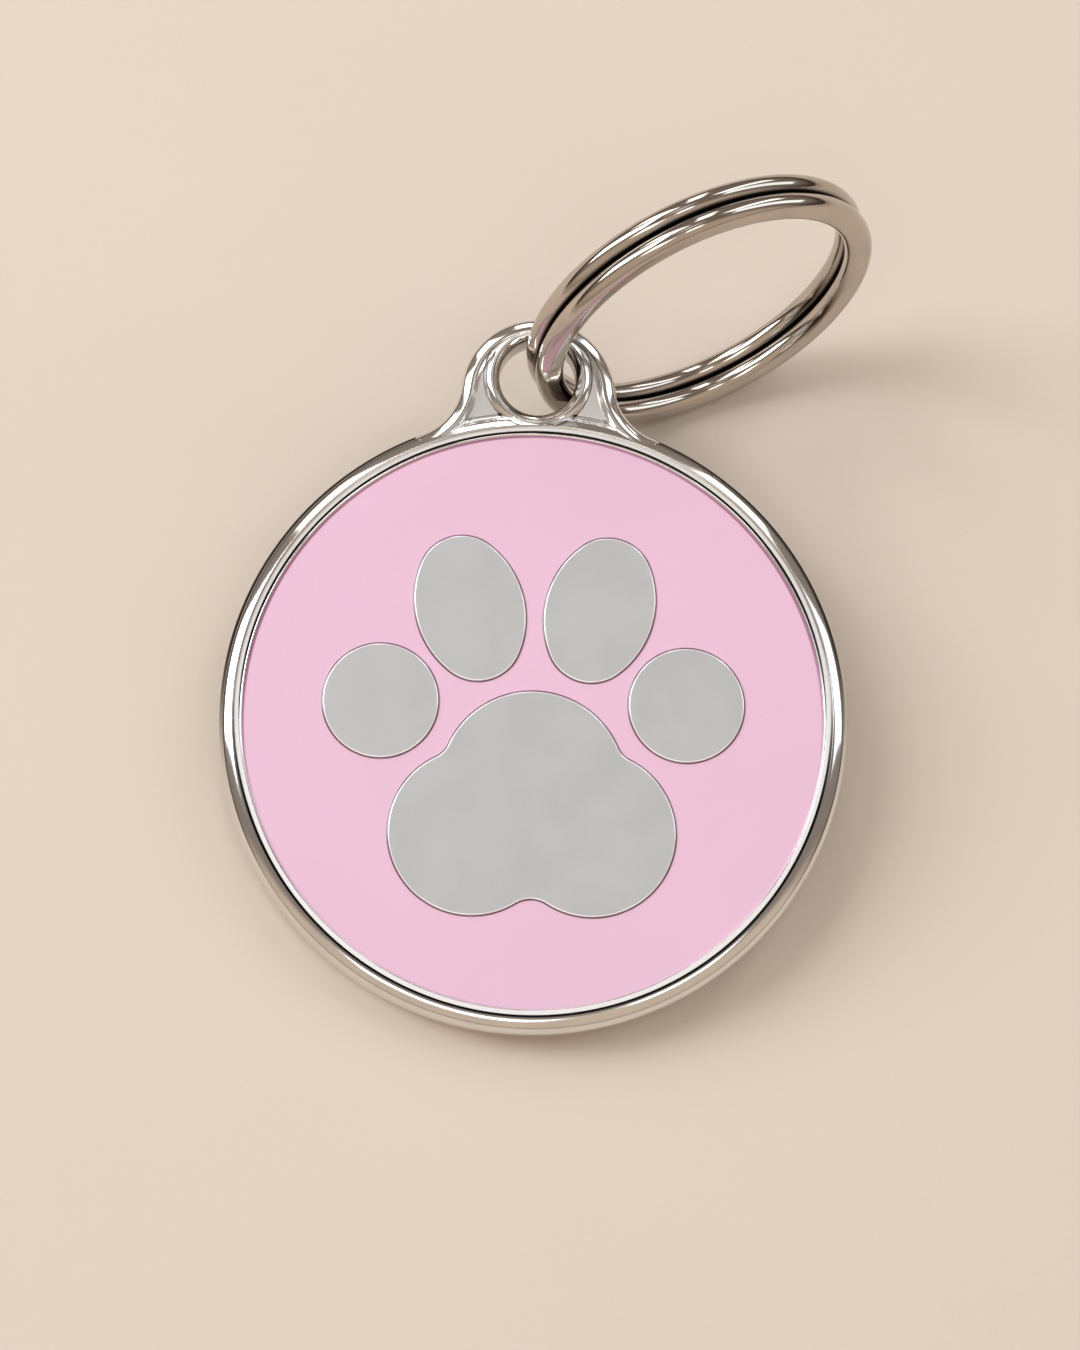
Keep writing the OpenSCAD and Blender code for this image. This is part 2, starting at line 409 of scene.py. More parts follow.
class Shader:
    """A material's or the world's node tree."""

    def __init__(self, tree: bpy.types.NodeTree) -> None:
        """Empties the tree."""
        self.tree = tree
        tree.nodes.clear()

    def node(self, kind: str, settings: dict | None = None,
             values: dict | None = None) -> bpy.types.Node:
        """Adds one node.

        Args:
            kind: the node's type.
            settings: its properties, set first.
            values: a value or a link for each named or numbered input.

        Returns:
            The node.
        """
        node = self.tree.nodes.new(kind)
        for key, setting in (settings or {}).items():
            setattr(node, key, setting)
        for key, value in (values or {}).items():
            if isinstance(value, Value):
                value = value.socket
            if isinstance(value, Socket):
                self.tree.links.new(value, node.inputs[key])
            else:
                node.inputs[key].default_value = value
        return node

    def math(self, operation: str, *values: "Value | float") -> Value:
        """Adds a Math node on the values."""
        node = self.node("ShaderNodeMath", {"operation": operation}, dict(enumerate(values)))
        return Value(self, node.outputs[0])

    def mapped(self, where: Socket, values: dict) -> Socket:
        """Turns or stretches coordinates."""
        return self.node("ShaderNodeMapping", {}, {"Vector": where, **values}).outputs[0]

    def millimetres(self, stretch: tuple[float, float, float] = (1.0, 1.0, 1.0),
                    turn: float = 0.0) -> Socket:
        """Object coordinates in mm, turned about Z and then stretched.

        Args:
            stretch: factors along the axes.
            turn: the turn in degrees.

        Returns:
            The coordinates.
        """
        where = self.node("ShaderNodeTexCoord").outputs["Object"]
        turned = self.mapped(where, {"Rotation": (0.0, 0.0, math.radians(turn))})
        return self.mapped(turned, {"Scale": tuple(share / MM for share in stretch)})

    def noise(self, where: Socket, scale: float, detail: float = 2.0) -> Value:
        """Noise between about 0 and 1, with so many lumps to a mm."""
        node = self.node("ShaderNodeTexNoise", {},
                         {"Vector": where, "Scale": scale, "Detail": detail})
        return Value(self, node.outputs["Fac"])

    def patches(self, where: Socket, kind: Patches) -> Value:
        """Patches from 0 to 1."""
        return self.noise(where, kind.scale, kind.detail).over(kind.low, kind.high)

    def lines(self, along: float, across: float, turn: float) -> Value:
        """Noise in fine lines at a turn in degrees, with so many lumps to a mm each way."""
        return self.noise(self.millimetres((along, across, across), turn), 1.0)

    def scratches(self, kind: Scratches) -> Value:
        """Scratches from 0 to 1."""
        return self.lines(kind.along, kind.across, kind.turn).over(kind.low, kind.high)

    def mark(self) -> Value:
        """The mark that the mesh carries at its points."""
        return Value(self, self.node("ShaderNodeAttribute",
                                     {"attribute_name": MARK}).outputs["Fac"])

    def blend(self, share: Value, first: "Colour | Socket", second: "Colour | Socket") -> Socket:
        """Mixes two colours, each a plain red, green and blue or a link."""
        first, second = ((*one, 1.0) if isinstance(one, tuple) else one for one in (first, second))
        return self.node("ShaderNodeMix", {"data_type": "RGBA"},
                         {0: share, 6: first, 7: second}).outputs[2]

    def shaded(self, share: Value, colour: Colour, shade: float) -> Socket:
        """Blends a colour with the same one at a share of its light."""
        return self.blend(share, colour, tuple(shade * part for part in colour))

    def bump(self, height: Value, depth: float, normal: Socket | None = None) -> Socket:
        """Relief, on top of another one where it is given.

        Args:
            height: heights from 0 to 1.
            depth: what a height of 1 stands for, in mm.
            normal: the other relief.

        Returns:
            The normal.
        """
        values = {"Height": height, "Distance": depth * MM, "Strength": 1.0}
        if normal is not None:
            values["Normal"] = normal
        return self.node("ShaderNodeBump", {}, values).outputs[0]


class Finish:
    """A finish, told by its values for a Principled shader."""

    def values(self, shader: Shader) -> dict:
        """Each finish gives its own values."""
        raise NotImplementedError

    def material(self, name: str) -> bpy.types.Material:
        """Builds the finish.

        Args:
            name: the material's name.

        Returns:
            The material.
        """
        material = bpy.data.materials.new(name)
        material.use_nodes = True
        shader = Shader(material.node_tree)
        bsdf = shader.node("ShaderNodeBsdfPrincipled", {}, self.values(shader))
        shader.node("ShaderNodeOutputMaterial", {}, {"Surface": bsdf.outputs[0]})
        return material


@dataclass(frozen=True)
class PolishedNickel(Finish):
    """Mirror polish, faintly waved and scratched, with satin flats and painted crease shade."""

    colour: Colour = (0.80, 0.785, 0.76)
    satin: Colour = (0.90, 0.89, 0.875)
    # grime: near-black painted where shade falls in creases, seams and the bore.
    grime: Colour = (0.014, 0.011, 0.009)
    smudge: Patches = Patches(0.33, 3.0, 0.4, 0.72)
    smudge_shade: float = 0.94
    wave_scale: float = 0.8
    wave_depth: float = 0.0008
    one_way: Scratches = Scratches(1.2, 46.0, 32.0, 0.66, 0.74)
    other_way: Scratches = Scratches(1.0, 38.0, -51.0, 0.68, 0.76)
    scratch_depth: float = 0.00006
    roughness: float = 0.08
    smudge_roughness: float = 0.035
    scratch_roughness: float = 0.05
    grime_roughness: float = 0.35
    satin_roughness: float = 0.4
    satin_paleness: float = 0.6

    def values(self, shader: Shader) -> dict:
        """Works out what the shader's sockets get.

        Args:
            shader: the material's node tree.

        Returns:
            Values and links by the sockets' names.
        """
        where = shader.millimetres()
        smudge = shader.patches(where, self.smudge)
        wave = shader.noise(where, self.wave_scale, 1.0)
        scratch = shader.scratches(self.one_way) + shader.scratches(self.other_way)
        mark = shader.mark()
        # crease is the mark's painted shade, and flat its satin.
        crease, flat = mark.over(0.0, 1.0), mark.over(0.0, -1.0)
        worn = shader.shaded(smudge, self.colour, self.smudge_shade)
        return {
            "Metallic": 1.0 - self.satin_paleness * flat,
            "Base Color": shader.blend(crease, shader.blend(flat, worn, self.satin), self.grime),
            "Roughness": (self.roughness + self.smudge_roughness * smudge
                          + self.scratch_roughness * scratch + self.grime_roughness * crease
                          + self.satin_roughness * flat),
            "Normal": shader.bump(1.0 - scratch, self.scratch_depth,
                                  shader.bump(wave, self.wave_depth))}


@dataclass(frozen=True)
class SpringWire(Finish):
    """Bright plated wire with draw lines along it and painted shade between the turns."""

    # colour and dull are darker than the tag's metal of the same kind: painted shade for the darker
    # surroundings that the ring mirrors.
    colour: Colour = (0.56, 0.505, 0.45)
    dull: Colour = (0.44, 0.40, 0.355)
    grime: Colour = (0.012, 0.01, 0.009)
    smudge: Patches = Patches(0.4, 3.0, 0.42, 0.7)
    smudge_share: float = 0.5
    wave_scale: float = 0.7
    wave_depth: float = 0.0008
    line_stretch: tuple[float, float, float] = (0.9, 34.0, 1.0)
    line_low: float = 0.55
    line_high: float = 0.8
    line_depth: float = 0.0001
    roughness: float = 0.085
    smudge_roughness: float = 0.03
    line_roughness: float = 0.03
    grime_roughness: float = 0.4

    def values(self, shader: Shader) -> dict:
        """Works out what the shader's sockets get.

        Args:
            shader: the material's node tree.

        Returns:
            Values and links by the sockets' names.
        """
        where = shader.millimetres()
        smudge = shader.patches(where, self.smudge)
        along = shader.node("ShaderNodeUVMap", {"uv_map": WIRE_MAP}).outputs[0]
        line = shader.noise(shader.mapped(along, {"Scale": self.line_stretch}), 1.0, 1.0)
        relief = shader.bump(shader.noise(where, self.wave_scale, 1.0), self.wave_depth)
        worn = shader.blend(smudge * self.smudge_share, self.colour, self.dull)
        # groove paints shade between the turns.
        groove = shader.mark()
        return {
            "Metallic": 1.0,
            "Base Color": shader.blend(groove, worn, self.grime),
            "Roughness": (self.roughness + self.smudge_roughness * smudge
                          + self.line_roughness * line.over(self.line_low, self.line_high)
                          + self.grime_roughness * groove),
            "Normal": shader.bump(line, self.line_depth, relief)}


@dataclass(frozen=True)
class SatinMetal(Finish):
    """Finely ground flat metal with a polished bevel, its colour lifted as a painted highlight."""

    colour: Colour = (0.53, 0.535, 0.533)
    # bright: the bevel's colour, a painted highlight on top of its real polish.
    bright: Colour = (0.96, 0.95, 0.94)
    cloud: Patches = Patches(0.45, 2.0, 0.3, 0.7)
    cloud_shade: float = 0.955
    grain_scale: float = 26.0
    grain_detail: float = 3.0
    grain_depth: float = 0.0007
    stroke_along: float = 0.5
    stroke_across: float = 30.0
    stroke_turn: float = 18.0
    stroke_share: float = 0.6
    metallic: float = 0.4
    roughness: float = 0.5
    cloud_roughness: float = 0.05
    grain_roughness: float = 0.06
    bevel_polish: float = 0.7

    def values(self, shader: Shader) -> dict:
        """Works out what the shader's sockets get.

        Args:
            shader: the material's node tree.

        Returns:
            Values and links by the sockets' names.
        """
        where = shader.millimetres()
        cloud = shader.patches(where, self.cloud)
        grain = shader.noise(where, self.grain_scale, self.grain_detail)
        stroke = shader.lines(self.stroke_along, self.stroke_across, self.stroke_turn)
        # bevel marks where the colour is lifted as a painted highlight.
        bevel = shader.mark()
        ground = shader.shaded(1.0 - cloud, self.colour, self.cloud_shade)
        rough = (self.roughness + self.cloud_roughness * cloud
                 + self.grain_roughness * (grain - 0.5))
        return {
            "Metallic": self.metallic,
            "Base Color": shader.blend(bevel, ground, self.bright),
            "Roughness": rough * (1.0 - self.bevel_polish * bevel),
            "Normal": shader.bump((grain + stroke * self.stroke_share) * (1.0 - bevel),
                                  self.grain_depth)}


@dataclass(frozen=True)
class GlossEnamel(Finish):
    """Pink enamel under a gloss, with painted shade and reflection along the metal."""

    colour: Colour = (0.835, 0.533, 0.69)
    # fleck_and_rim_shade tints the flecks and is the magenta painted shade and reflection by the
    # rim; painted_edge_shade is the near-black painted shadow in the pads' gaps.
    fleck_and_rim_shade: Colour = (0.42, 0.15, 0.29)
    painted_edge_shade: Colour = (0.04, 0.02, 0.028)
    cloud: Patches = Patches(0.22, 3.0, 0.3, 0.7)
    cloud_shade: float = 0.97
    fleck: Patches = Patches(9.0, 2.0, 0.66, 0.8)
    fleck_share: float = 0.05
    painted_edge_shade_from: float = 0.5
    roughness: float = 0.3
    cloud_roughness: float = 0.08
    coat: float = 0.9
    cloud_coat: float = 0.1
    coat_roughness: float = 0.12
    peel_scale: float = 1.1
    peel_depth: float = 0.0004

    def values(self, shader: Shader) -> dict:
        """Works out what the shader's sockets get.

        Args:
            shader: the material's node tree.

        Returns:
            Values and links by the sockets' names.
        """
        where = shader.millimetres()
        cloud = shader.patches(where, self.cloud)
        fleck = shader.patches(where, self.fleck)
        body = shader.shaded(cloud, self.colour, self.cloud_shade)
        flecked = shader.blend(fleck * self.fleck_share, body, self.fleck_and_rim_shade)
        # The mark paints shade along the metal: magenta by the rim, near-black round the pads.
        near = shader.mark()
        bordered = shader.blend(near.over(0.0, self.painted_edge_shade_from), flecked, self.fleck_and_rim_shade)
        return {
            "Base Color": shader.blend(near.over(self.painted_edge_shade_from, 1.0), bordered, self.painted_edge_shade),
            "Roughness": self.roughness + self.cloud_roughness * cloud,
            "Coat Weight": self.coat - self.cloud_coat * cloud,
            "Coat Roughness": self.coat_roughness,
            "Normal": shader.bump(shader.noise(where, self.peel_scale, 1.0), self.peel_depth)}


@dataclass(frozen=True)
class PaleFloor(Finish):
    """A plain pale matt floor."""

    colour: Colour = (0.74, 0.64, 0.545)
    cloud_scale: float = 0.06
    cloud_shade: float = 0.97
    roughness: float = 0.75
    specular: float = 0.2

    def values(self, shader: Shader) -> dict:
        """Works out what the shader's sockets get.

        Args:
            shader: the material's node tree.

        Returns:
            Values and links by the sockets' names.
        """
        cloud = shader.noise(shader.millimetres(), self.cloud_scale)
        return {
            "Base Color": shader.shaded(cloud, self.colour, self.cloud_shade),
            "Roughness": self.roughness,
            "Specular IOR Level": self.specular}


# Where the rim's section has its points, as shares of a part's width and height.
GROOVE_POINTS = np.array([[0.03, 0.6], [0.15, 0.12], [0.4, 0.0], [0.62, 0.15], [0.82, 0.6],
                          [0.96, 0.9]])
LIP_POINTS = np.array([0.0, 0.04, 0.2, 0.4, 0.6, 0.8, 0.96, 1.0])[:, None]
SLIT_POINTS = np.array([[0.1, 0.15], [0.24, 0.8], [0.4, 1.0], [0.7, 1.0], [0.9, 0.8]])


@dataclass(frozen=True)
class DiscSizes:
    """The round of the tag at the eye's side, in mm, and how marked its rim is."""

    radius: float = 15.0 - SKIN
    half_t: float = 1.1
    top: float = 1.1 - SKIN
    bead_r: float = 0.4
    bead_foot: float = 0.35
    bead_middle: float = 14.06
    crown_r: float = 14.34
    inner_r: float = 0.045
    groove_z: float = 0.915
    lip_r: float = 14.27
    lip_z: float = 0.925
    lip_edge_r: float = 14.07
    lip_edge_z: float = 0.922
    slit_w: float = 0.075
    slit_d: float = 0.09
    trim_gap: float = 0.002
    trim_drop: float = 0.005
    enamel_r: float = 13.84
    enamel_z: float = 0.8
    floor_z: float = 0.1
    past_slope: float = 3.0
    back_rings: tuple[float, ...] = (0.0, 6.0, 12.0)
    back_edge: float = 0.3
    low_spacing: float = 0.05
    outer_points: int = 48
    inner_fineness: float = 8.0
    trim_fineness: float = 6.0
    trim_from: float = 10.0
    trim_sweep: float = 170.0
    # Painted shade in the rim's groove and slit, and the floor's shadow painted on the outer wall:
    # where each lies and how strong it is.
    groove_w: float = 0.08
    groove_shift: float = 0.01
    groove_shade: float = 0.1
    slit_share: float = 0.55
    slit_shade: float = 1.0
    wall_from: float = 0.245
    wall_ramp: float = 0.03
    wall_to: float = 0.055
    wall_end_ramp: float = 0.04
    wall_shade: float = 1.0
    satin_ramp: float = 0.012
    satin: float = 0.72

    @property
    def groove_r(self) -> float:
        """Radius at which the bead's inner flank stands upright."""
        return self.crown_r - self.inner_r

    @property
    def crown_turn(self) -> float:
        """Angle of the crown on the bead's ellipse, in radians."""
        return math.acos((self.crown_r - self.bead_middle) / (self.radius - self.bead_middle))

    @property
    def bead_rise(self) -> float:
        """Upright half axis of the bead's ellipse, which reaches the top at the crown."""
        return (self.top - self.bead_foot) / math.sin(self.crown_turn)

    def bead_height(self, radius: Array) -> Array:
        """Height of the bead outside its crown.

        Formula: foot + rise sqrt(1 - q^2), q being the share of the way from
        the ellipse's middle to the outer wall, and a steep slope past it.

        Args:
            radius: distances from the disc's axis, in mm.

        Returns:
            The heights, in mm.
        """
        away = (radius - self.bead_middle) / (self.radius - self.bead_middle)
        round_part = np.sqrt(np.maximum(1.0 - away * away, 0.0))
        return (self.bead_foot + self.bead_rise * round_part
                - self.past_slope * np.maximum(away - 1.0, 0.0))

    def section(self) -> Array:
        """Section of the disc from its axis below, round the rim and to its axis above.

        Formula: quarter circles for the bead below and inside, an ellipse's
        part outside, most of a circle for the trim beside the enamel, and
        straight stretches elsewhere, with close points at each corner. Every
        set of sizes gives the same number of points.

        Returns:
            Radius and height of each point.
        """
        ridge, side = self.radius - self.bead_r, self.top - self.bead_r
        back = np.array([[radius, -self.top] for radius in (
            *self.back_rings, ridge - self.back_edge, ridge - CLOSE)])
        low = Arc(ridge, -side, self.bead_r, -90.0, 90.0).points(0.0, self.low_spacing)
        turn = np.linspace(0.0, self.crown_turn, self.outer_points)[:, None]
        outer = np.concatenate([
            self.bead_middle + (self.radius - self.bead_middle) * np.cos(turn),
            self.bead_foot + self.bead_rise * np.sin(turn)], 1)
        inner = Arc(self.crown_r, self.top - self.inner_r, self.inner_r,
                    90.0, 90.0).points(0.0, self.inner_r / self.inner_fineness)[1:]
        groove = np.array([self.groove_r, self.groove_z])
        lip = np.array([self.lip_r, self.lip_z])
        edge = np.array([self.lip_edge_r, self.lip_edge_z])
        slit = np.array([self.slit_w, self.slit_d])
        trim_r = (self.lip_edge_r - self.slit_w - self.enamel_r) / 2.0 - self.trim_gap
        trim = Arc(self.enamel_r + self.trim_gap + trim_r,
                   self.lip_edge_z - self.trim_drop - trim_r, trim_r,
                   self.trim_from, self.trim_sweep).points(0.0, trim_r / self.trim_fineness)
        wall = np.array([[self.enamel_r, self.enamel_z + CLOSE],
                         [self.enamel_r, self.floor_z + CLOSE], [self.enamel_r, self.floor_z],
                         [self.enamel_r - CLOSE, self.floor_z], [0.0, self.floor_z]])
        return np.concatenate([back, low, outer, inner, groove + (lip - groove) * GROOVE_POINTS,
                               lip + (edge - lip) * LIP_POINTS, edge - slit * SLIT_POINTS,
                               trim, wall])

    def mark(self, section: Array) -> Array:
        """How marked the section's points are: painted shade from 0 to 1, satin from 0 to -1.

        Formula: painted shade in the groove and in the slit, and the floor's
        shadow painted along the outer wall, less the satin of the lip's flat top.

        Args:
            section: radius and height of each point.

        Returns:
            The points' marks.
        """
        radius, height = section.T
        groove = np.exp(-((radius - self.groove_r + self.groove_shift) / self.groove_w) ** 4)
        slit = np.exp(-((radius - self.lip_edge_r + self.slit_w / 2.0)
                        / (self.slit_share * self.slit_w)) ** 4)
        wall = (smooth((radius - self.radius + self.wall_from) / self.wall_ramp)
                * smooth((self.radius - self.wall_to - radius) / self.wall_end_ramp))
        lip = (smooth((self.lip_r - radius) / self.satin_ramp)
               * smooth((radius - self.lip_edge_r) / self.satin_ramp))
        return (height > self.bead_foot) * (self.groove_shade * groove + self.slit_shade * slit
                                            + self.wall_shade * wall - self.satin * lip)


@dataclass(frozen=True)
class EyeSizes:
    """The eye at the top of the tag, in mm and degrees, and how marked it is."""

    arch_y: float = 15.95
    arch_r: float = 3.75 - SKIN
    bead_t: float = 2.1
    flare_r: float = 3.0 + SKIN
    flare_sink: float = 0.06
    hole_y: float = 16.77
    hole_r: float = 1.86
    lip_w: float = 0.74
    lip_t: float = 2.0
    lip_slope: float = 5.0
    web_t: float = 1.5
    web_sink: float = 0.0005
    fillet: float = 0.14
    fillet_sink: float = 0.004
    crest: float = 0.6
    inner_r: float = 0.012
    foot: float = 0.58
    slope_w: float = 0.28
    run_in: float = 9.0
    run_shrink: float = 0.6
    # Painted shade down the bore and along the web's seams at the lip and the rim.
    bore_from: float = -0.3
    bore_grime: float = 0.55
    seam_off: float = 0.02
    seam_w: float = 0.05
    lip_grime: float = 0.8
    rim_grime: float = 0.7
    satin_ramp: float = 0.12
    web_satin: float = 0.34

    @property
    def top(self) -> float:
        """Height of the bead's crest."""
        return self.bead_t / 2.0 - SKIN

    @property
    def crest_r(self) -> float:
        """Radius of the arch's crest line."""
        return self.arch_r - self.crest

    @property
    def flare_crest_r(self) -> float:
        """Radius of a flare's crest line."""
        return self.flare_r + self.crest

    @property
    def arch(self) -> Array:
        """Centre of the arch."""
        return np.array([0.0, self.arch_y])

    @property
    def hole(self) -> Array:
        """Centre of the hole."""
        return np.array([0.0, self.hole_y])

    @property
    def lip_middle_r(self) -> float:
        """Radius of the lip's middle line."""
        return self.hole_r + self.lip_w / 2.0

    def section(self, count: int = 22) -> Array:
        """Section of the bead about its crest line, u out of the eye and z up.

        Formula: a quarter ellipse from the crest out and down to the foot, a
        quarter circle on the inner side, and both mirrored below.

        Args:
            count: points of each quarter.

        Returns:
            The section's points, counterclockwise.
        """
        turn = np.linspace(0.0, math.pi / 2.0, count)
        outer = np.stack([self.crest * np.cos(turn),
                          self.foot + (self.top - self.foot) * np.sin(turn)], 1)
        inner = np.stack([-self.inner_r * np.sin(turn),
                          self.top - self.inner_r * (1.0 - np.cos(turn))], 1)[1:]
        upper = np.concatenate([outer, inner])
        return np.concatenate([upper, upper[::-1] * np.array([1.0, -1.0])])

    def slope(self, distance: Array) -> Array:
        """Height at a distance inwards of the crest.

        Formula: from the top to the web along half a wave of a cosine.

        Args:
            distance: distances from the crest line, in mm.

        Returns:
            The heights, in mm.
        """
        share = np.clip(distance / self.slope_w, 0.0, 1.0)
        web = self.web_t / 2.0
        return web - self.web_sink + (self.top - web) * 0.5 * (1.0 + np.cos(math.pi * share))


@dataclass(frozen=True)
class CastTag:
    """The casting: disc with bead rim, groove and lip, and the eye."""

    lie: Lie
    disc: DiscSizes = DiscSizes()
    # The low side's section, whose painted shade is darker in the groove, fainter in the slit and
    # missing on the outer wall.
    low_side: DiscSizes = DiscSizes(
        bead_middle=14.2, crown_r=14.25, inner_r=0.06, groove_z=0.86, lip_r=14.1,
        lip_edge_r=13.89, slit_w=0.012, slit_d=0.012, groove_shade=1.0, slit_shade=0.3,
        wall_shade=0.0, satin=1.0)
    low_slope: float = 1.3
    low_turn: float = 2.0
    eye: EyeSizes = EyeSizes()
    sink_depth: float = 0.3
    sink_from: float = 2.0
    sink_over: float = 7.0
    turns: int = 720
    arch_rows: int = 80
    flare_rows: int = 60
    run_rows: int = 30
    lip_turns: int = 288
    lip_points: int = 18
    web_turns: int = 400
    web_rows: int = 64
    web_end: float = 0.998

    def flare_centre(self) -> Array:
        """Centre of the right flare, a flare radius off the arch and off the rim.

        Formula: with A from the disc's centre and B from the arch's centre,
        y = (A^2 - B^2 + arch_y^2) / (2 arch_y), and x = sqrt(A^2 - y^2).

        Returns:
            The centre in the tag's plane.
        """
        eye = self.eye
        off = self.disc.radius - eye.flare_sink + eye.flare_r
        rise = (off ** 2 - (eye.arch_r + eye.flare_r) ** 2 + eye.arch_y ** 2) / (2.0 * eye.arch_y)
        return np.array([math.sqrt(off ** 2 - rise ** 2), rise])

    def rim(self) -> Skin:
        """The disc: its section turned about the axis, drawn in below the hole's lip.

        Formula: (r sin a, r cos a, z), with r, z and the marks going from the
        eye's side to the low side along a cosine's slope. Near the hole, what
        lies outside the groove is scaled so that the rim ends under the lip's
        middle line, and the bead sinks to the lip's height.

        Returns:
            The disc's surface.
        """
        disc, eye = self.disc, self.eye
        high_section, low_section = disc.section(), self.low_side.section()
        angle = round_angles(self.turns)[:, None]
        low = smooth(0.5 - self.low_slope * np.cos(angle + math.radians(self.low_turn)))
        section = high_section + (low_section - high_section) * low[..., None]
        mark = disc.mark(high_section) * (1.0 - low) + self.low_side.mark(low_section) * low
        inside = eye.lip_middle_r ** 2 - (eye.hole_y * np.sin(angle)) ** 2
        near = eye.hole_y * np.cos(angle) - np.sqrt(np.maximum(inside, 0.0))
        cut = np.where((inside > 0.0) & (np.cos(angle) > 0.0), near, disc.radius)
        outer = np.minimum(cut, disc.radius)
        radius, height = section[..., 0], section[..., 1]
        share = (outer - disc.groove_r) / (disc.radius - disc.groove_r)
        drawn = (radius > disc.groove_r) & (outer < disc.radius)
        degrees = np.abs((np.degrees(angle) + 180.0) % 360.0 - 180.0)
        sink = self.sink_depth * (1.0 - smooth((degrees - self.sink_from) / self.sink_over))
        sunk = np.where((height > disc.groove_z) & (radius > disc.groove_r),
                        height - (height - disc.groove_z) * sink, height)
        radius = np.where(drawn, disc.groove_r + (radius - disc.groove_r) * share, radius)
        skin = Skin()
        skin.grid(np.stack([radius * np.sin(angle), radius * np.cos(angle), sunk], -1),
                  wrap_rows=True, mark=mark)
        return skin

    def eye_path(self) -> tuple[Array, Array, Array]:
        """Middle line of the eye's bead, from the rim over the arch and back to it.

        Formula: the arch's circle, the flares' circles, and at each end a run
        along the rim's ridge, in which the bead shrinks out of sight.

        Returns:
            The line's points, the directions out of the eye, and the bead's scale.
        """
        eye, centre = self.eye, self.flare_centre()
        arch_from = math.degrees(math.atan2(centre[1] - eye.arch_y, centre[0]))
        flare_to = math.degrees(math.atan2(centre[1], centre[0]))
        over = rays(np.radians(np.linspace(90.0, arch_from, self.arch_rows)))
        flare = np.linspace(arch_from, flare_to, self.flare_rows)[1:]
        hollow = rays(np.radians(180.0 + flare))
        run = np.linspace(0.0, 1.0, self.run_rows)[1:]
        along = rays(np.radians(flare_to - eye.run_in * run))
        foot_r = np.linalg.norm(centre) - eye.flare_crest_r
        ridge_r = foot_r + (self.disc.crown_r - foot_r) * smooth(run)
        line = np.concatenate([eye.arch + eye.crest_r * over,
                               centre + eye.flare_crest_r * hollow, ridge_r[:, None] * along])
        out = np.concatenate([over, -hollow, along])
        scale = np.concatenate([np.ones(len(over) + len(hollow)),
                                1.0 - eye.run_shrink * smooth(run)])
        scale[-1] = 0.0
        mirror = np.array([-1.0, 1.0])
        return (np.concatenate([line[:0:-1] * mirror, line]),
                np.concatenate([out[:0:-1] * mirror, out]),
                np.concatenate([scale[:0:-1], scale]))

    def eye_bead(self) -> Skin:
        """The bead round the eye.

        Formula: line + scale (u out, z up) over the section's u and z.

        Returns:
            The bead's surface.
        """
        line, out, scale = self.eye_path()
        section = self.eye.section()
        flat = line[:, None] + scale[:, None, None] * section[None, :, :1] * out[:, None]
        skin = Skin()
        skin.grid(raised(flat, scale[:, None] * section[None, :, 1]), wrap_columns=True)
        return skin

    def eye_lip(self) -> Skin:
        """The round lip about the hole, with painted shade on its inner side.

        Formula: hole + (R + u) (cos a, sin a) over the section's u and z.

        Returns:
            The lip's surface.
        """
        eye = self.eye
        section = stadium(eye.lip_w, eye.lip_t, self.lip_points)
        out, height = section[:, 0], section[:, 1]
        angle = round_angles(self.lip_turns)[:, None]
        flat = eye.hole + (eye.lip_middle_r + out)[:, None] * rays(angle)
        # Painted shade down the inside of the hole.
        bore = eye.bore_grime * smooth(eye.bore_from - out / (0.5 * eye.lip_w))
        skin = Skin()
        skin.grid(raised(flat, height), wrap_rows=True, wrap_columns=True,
                  mark=np.broadcast_to(bore, flat.shape[:2]))
        return skin

    def web_reach(self, angle: Array) -> Array:
        """How far the web reaches from the hole's centre.

        Formula: the nearest of the arch's, the flares' and the rim's ridges
        along each direction, by the circles' crossings with a ray.

        Args:
            angle: directions about the hole's centre, in radians.

        Returns:
            The reach along each, in mm.
        """
        eye, centre = self.eye, self.flare_centre()
        ray = rays(angle)
        ray[:, 0] = np.abs(ray[:, 0])
        beyond = 99.0

        def crossing(middle: Array, radius: float, far: bool) -> Array:
            """Distance to a circle along each ray.

            Args:
                middle: the circle's centre.
                radius: its radius, in mm.
                far: whether its far side is meant.

            Returns:
                The distances, with one beyond all others where a ray misses.
            """
            offset = middle - eye.hole
            along = ray @ offset
            room = radius ** 2 - (offset @ offset - along ** 2)
            root = np.sqrt(np.maximum(room, 0.0))
            hit = along + root if far else along - root
            return np.where((room >= 0.0) & (hit > 0.0), hit, beyond)

        arch = crossing(eye.arch, eye.crest_r, True)
        flare = crossing(centre, eye.flare_crest_r, False)
        rim = crossing(np.zeros(2), self.disc.crown_r, False)
        top = math.atan2(centre[1] - eye.arch_y, centre[0])
        switch = eye.hole_y + arch * ray[:, 1] > eye.arch_y + eye.crest_r * math.sin(top)
        return np.where(switch, arch, np.minimum(flare, rim))

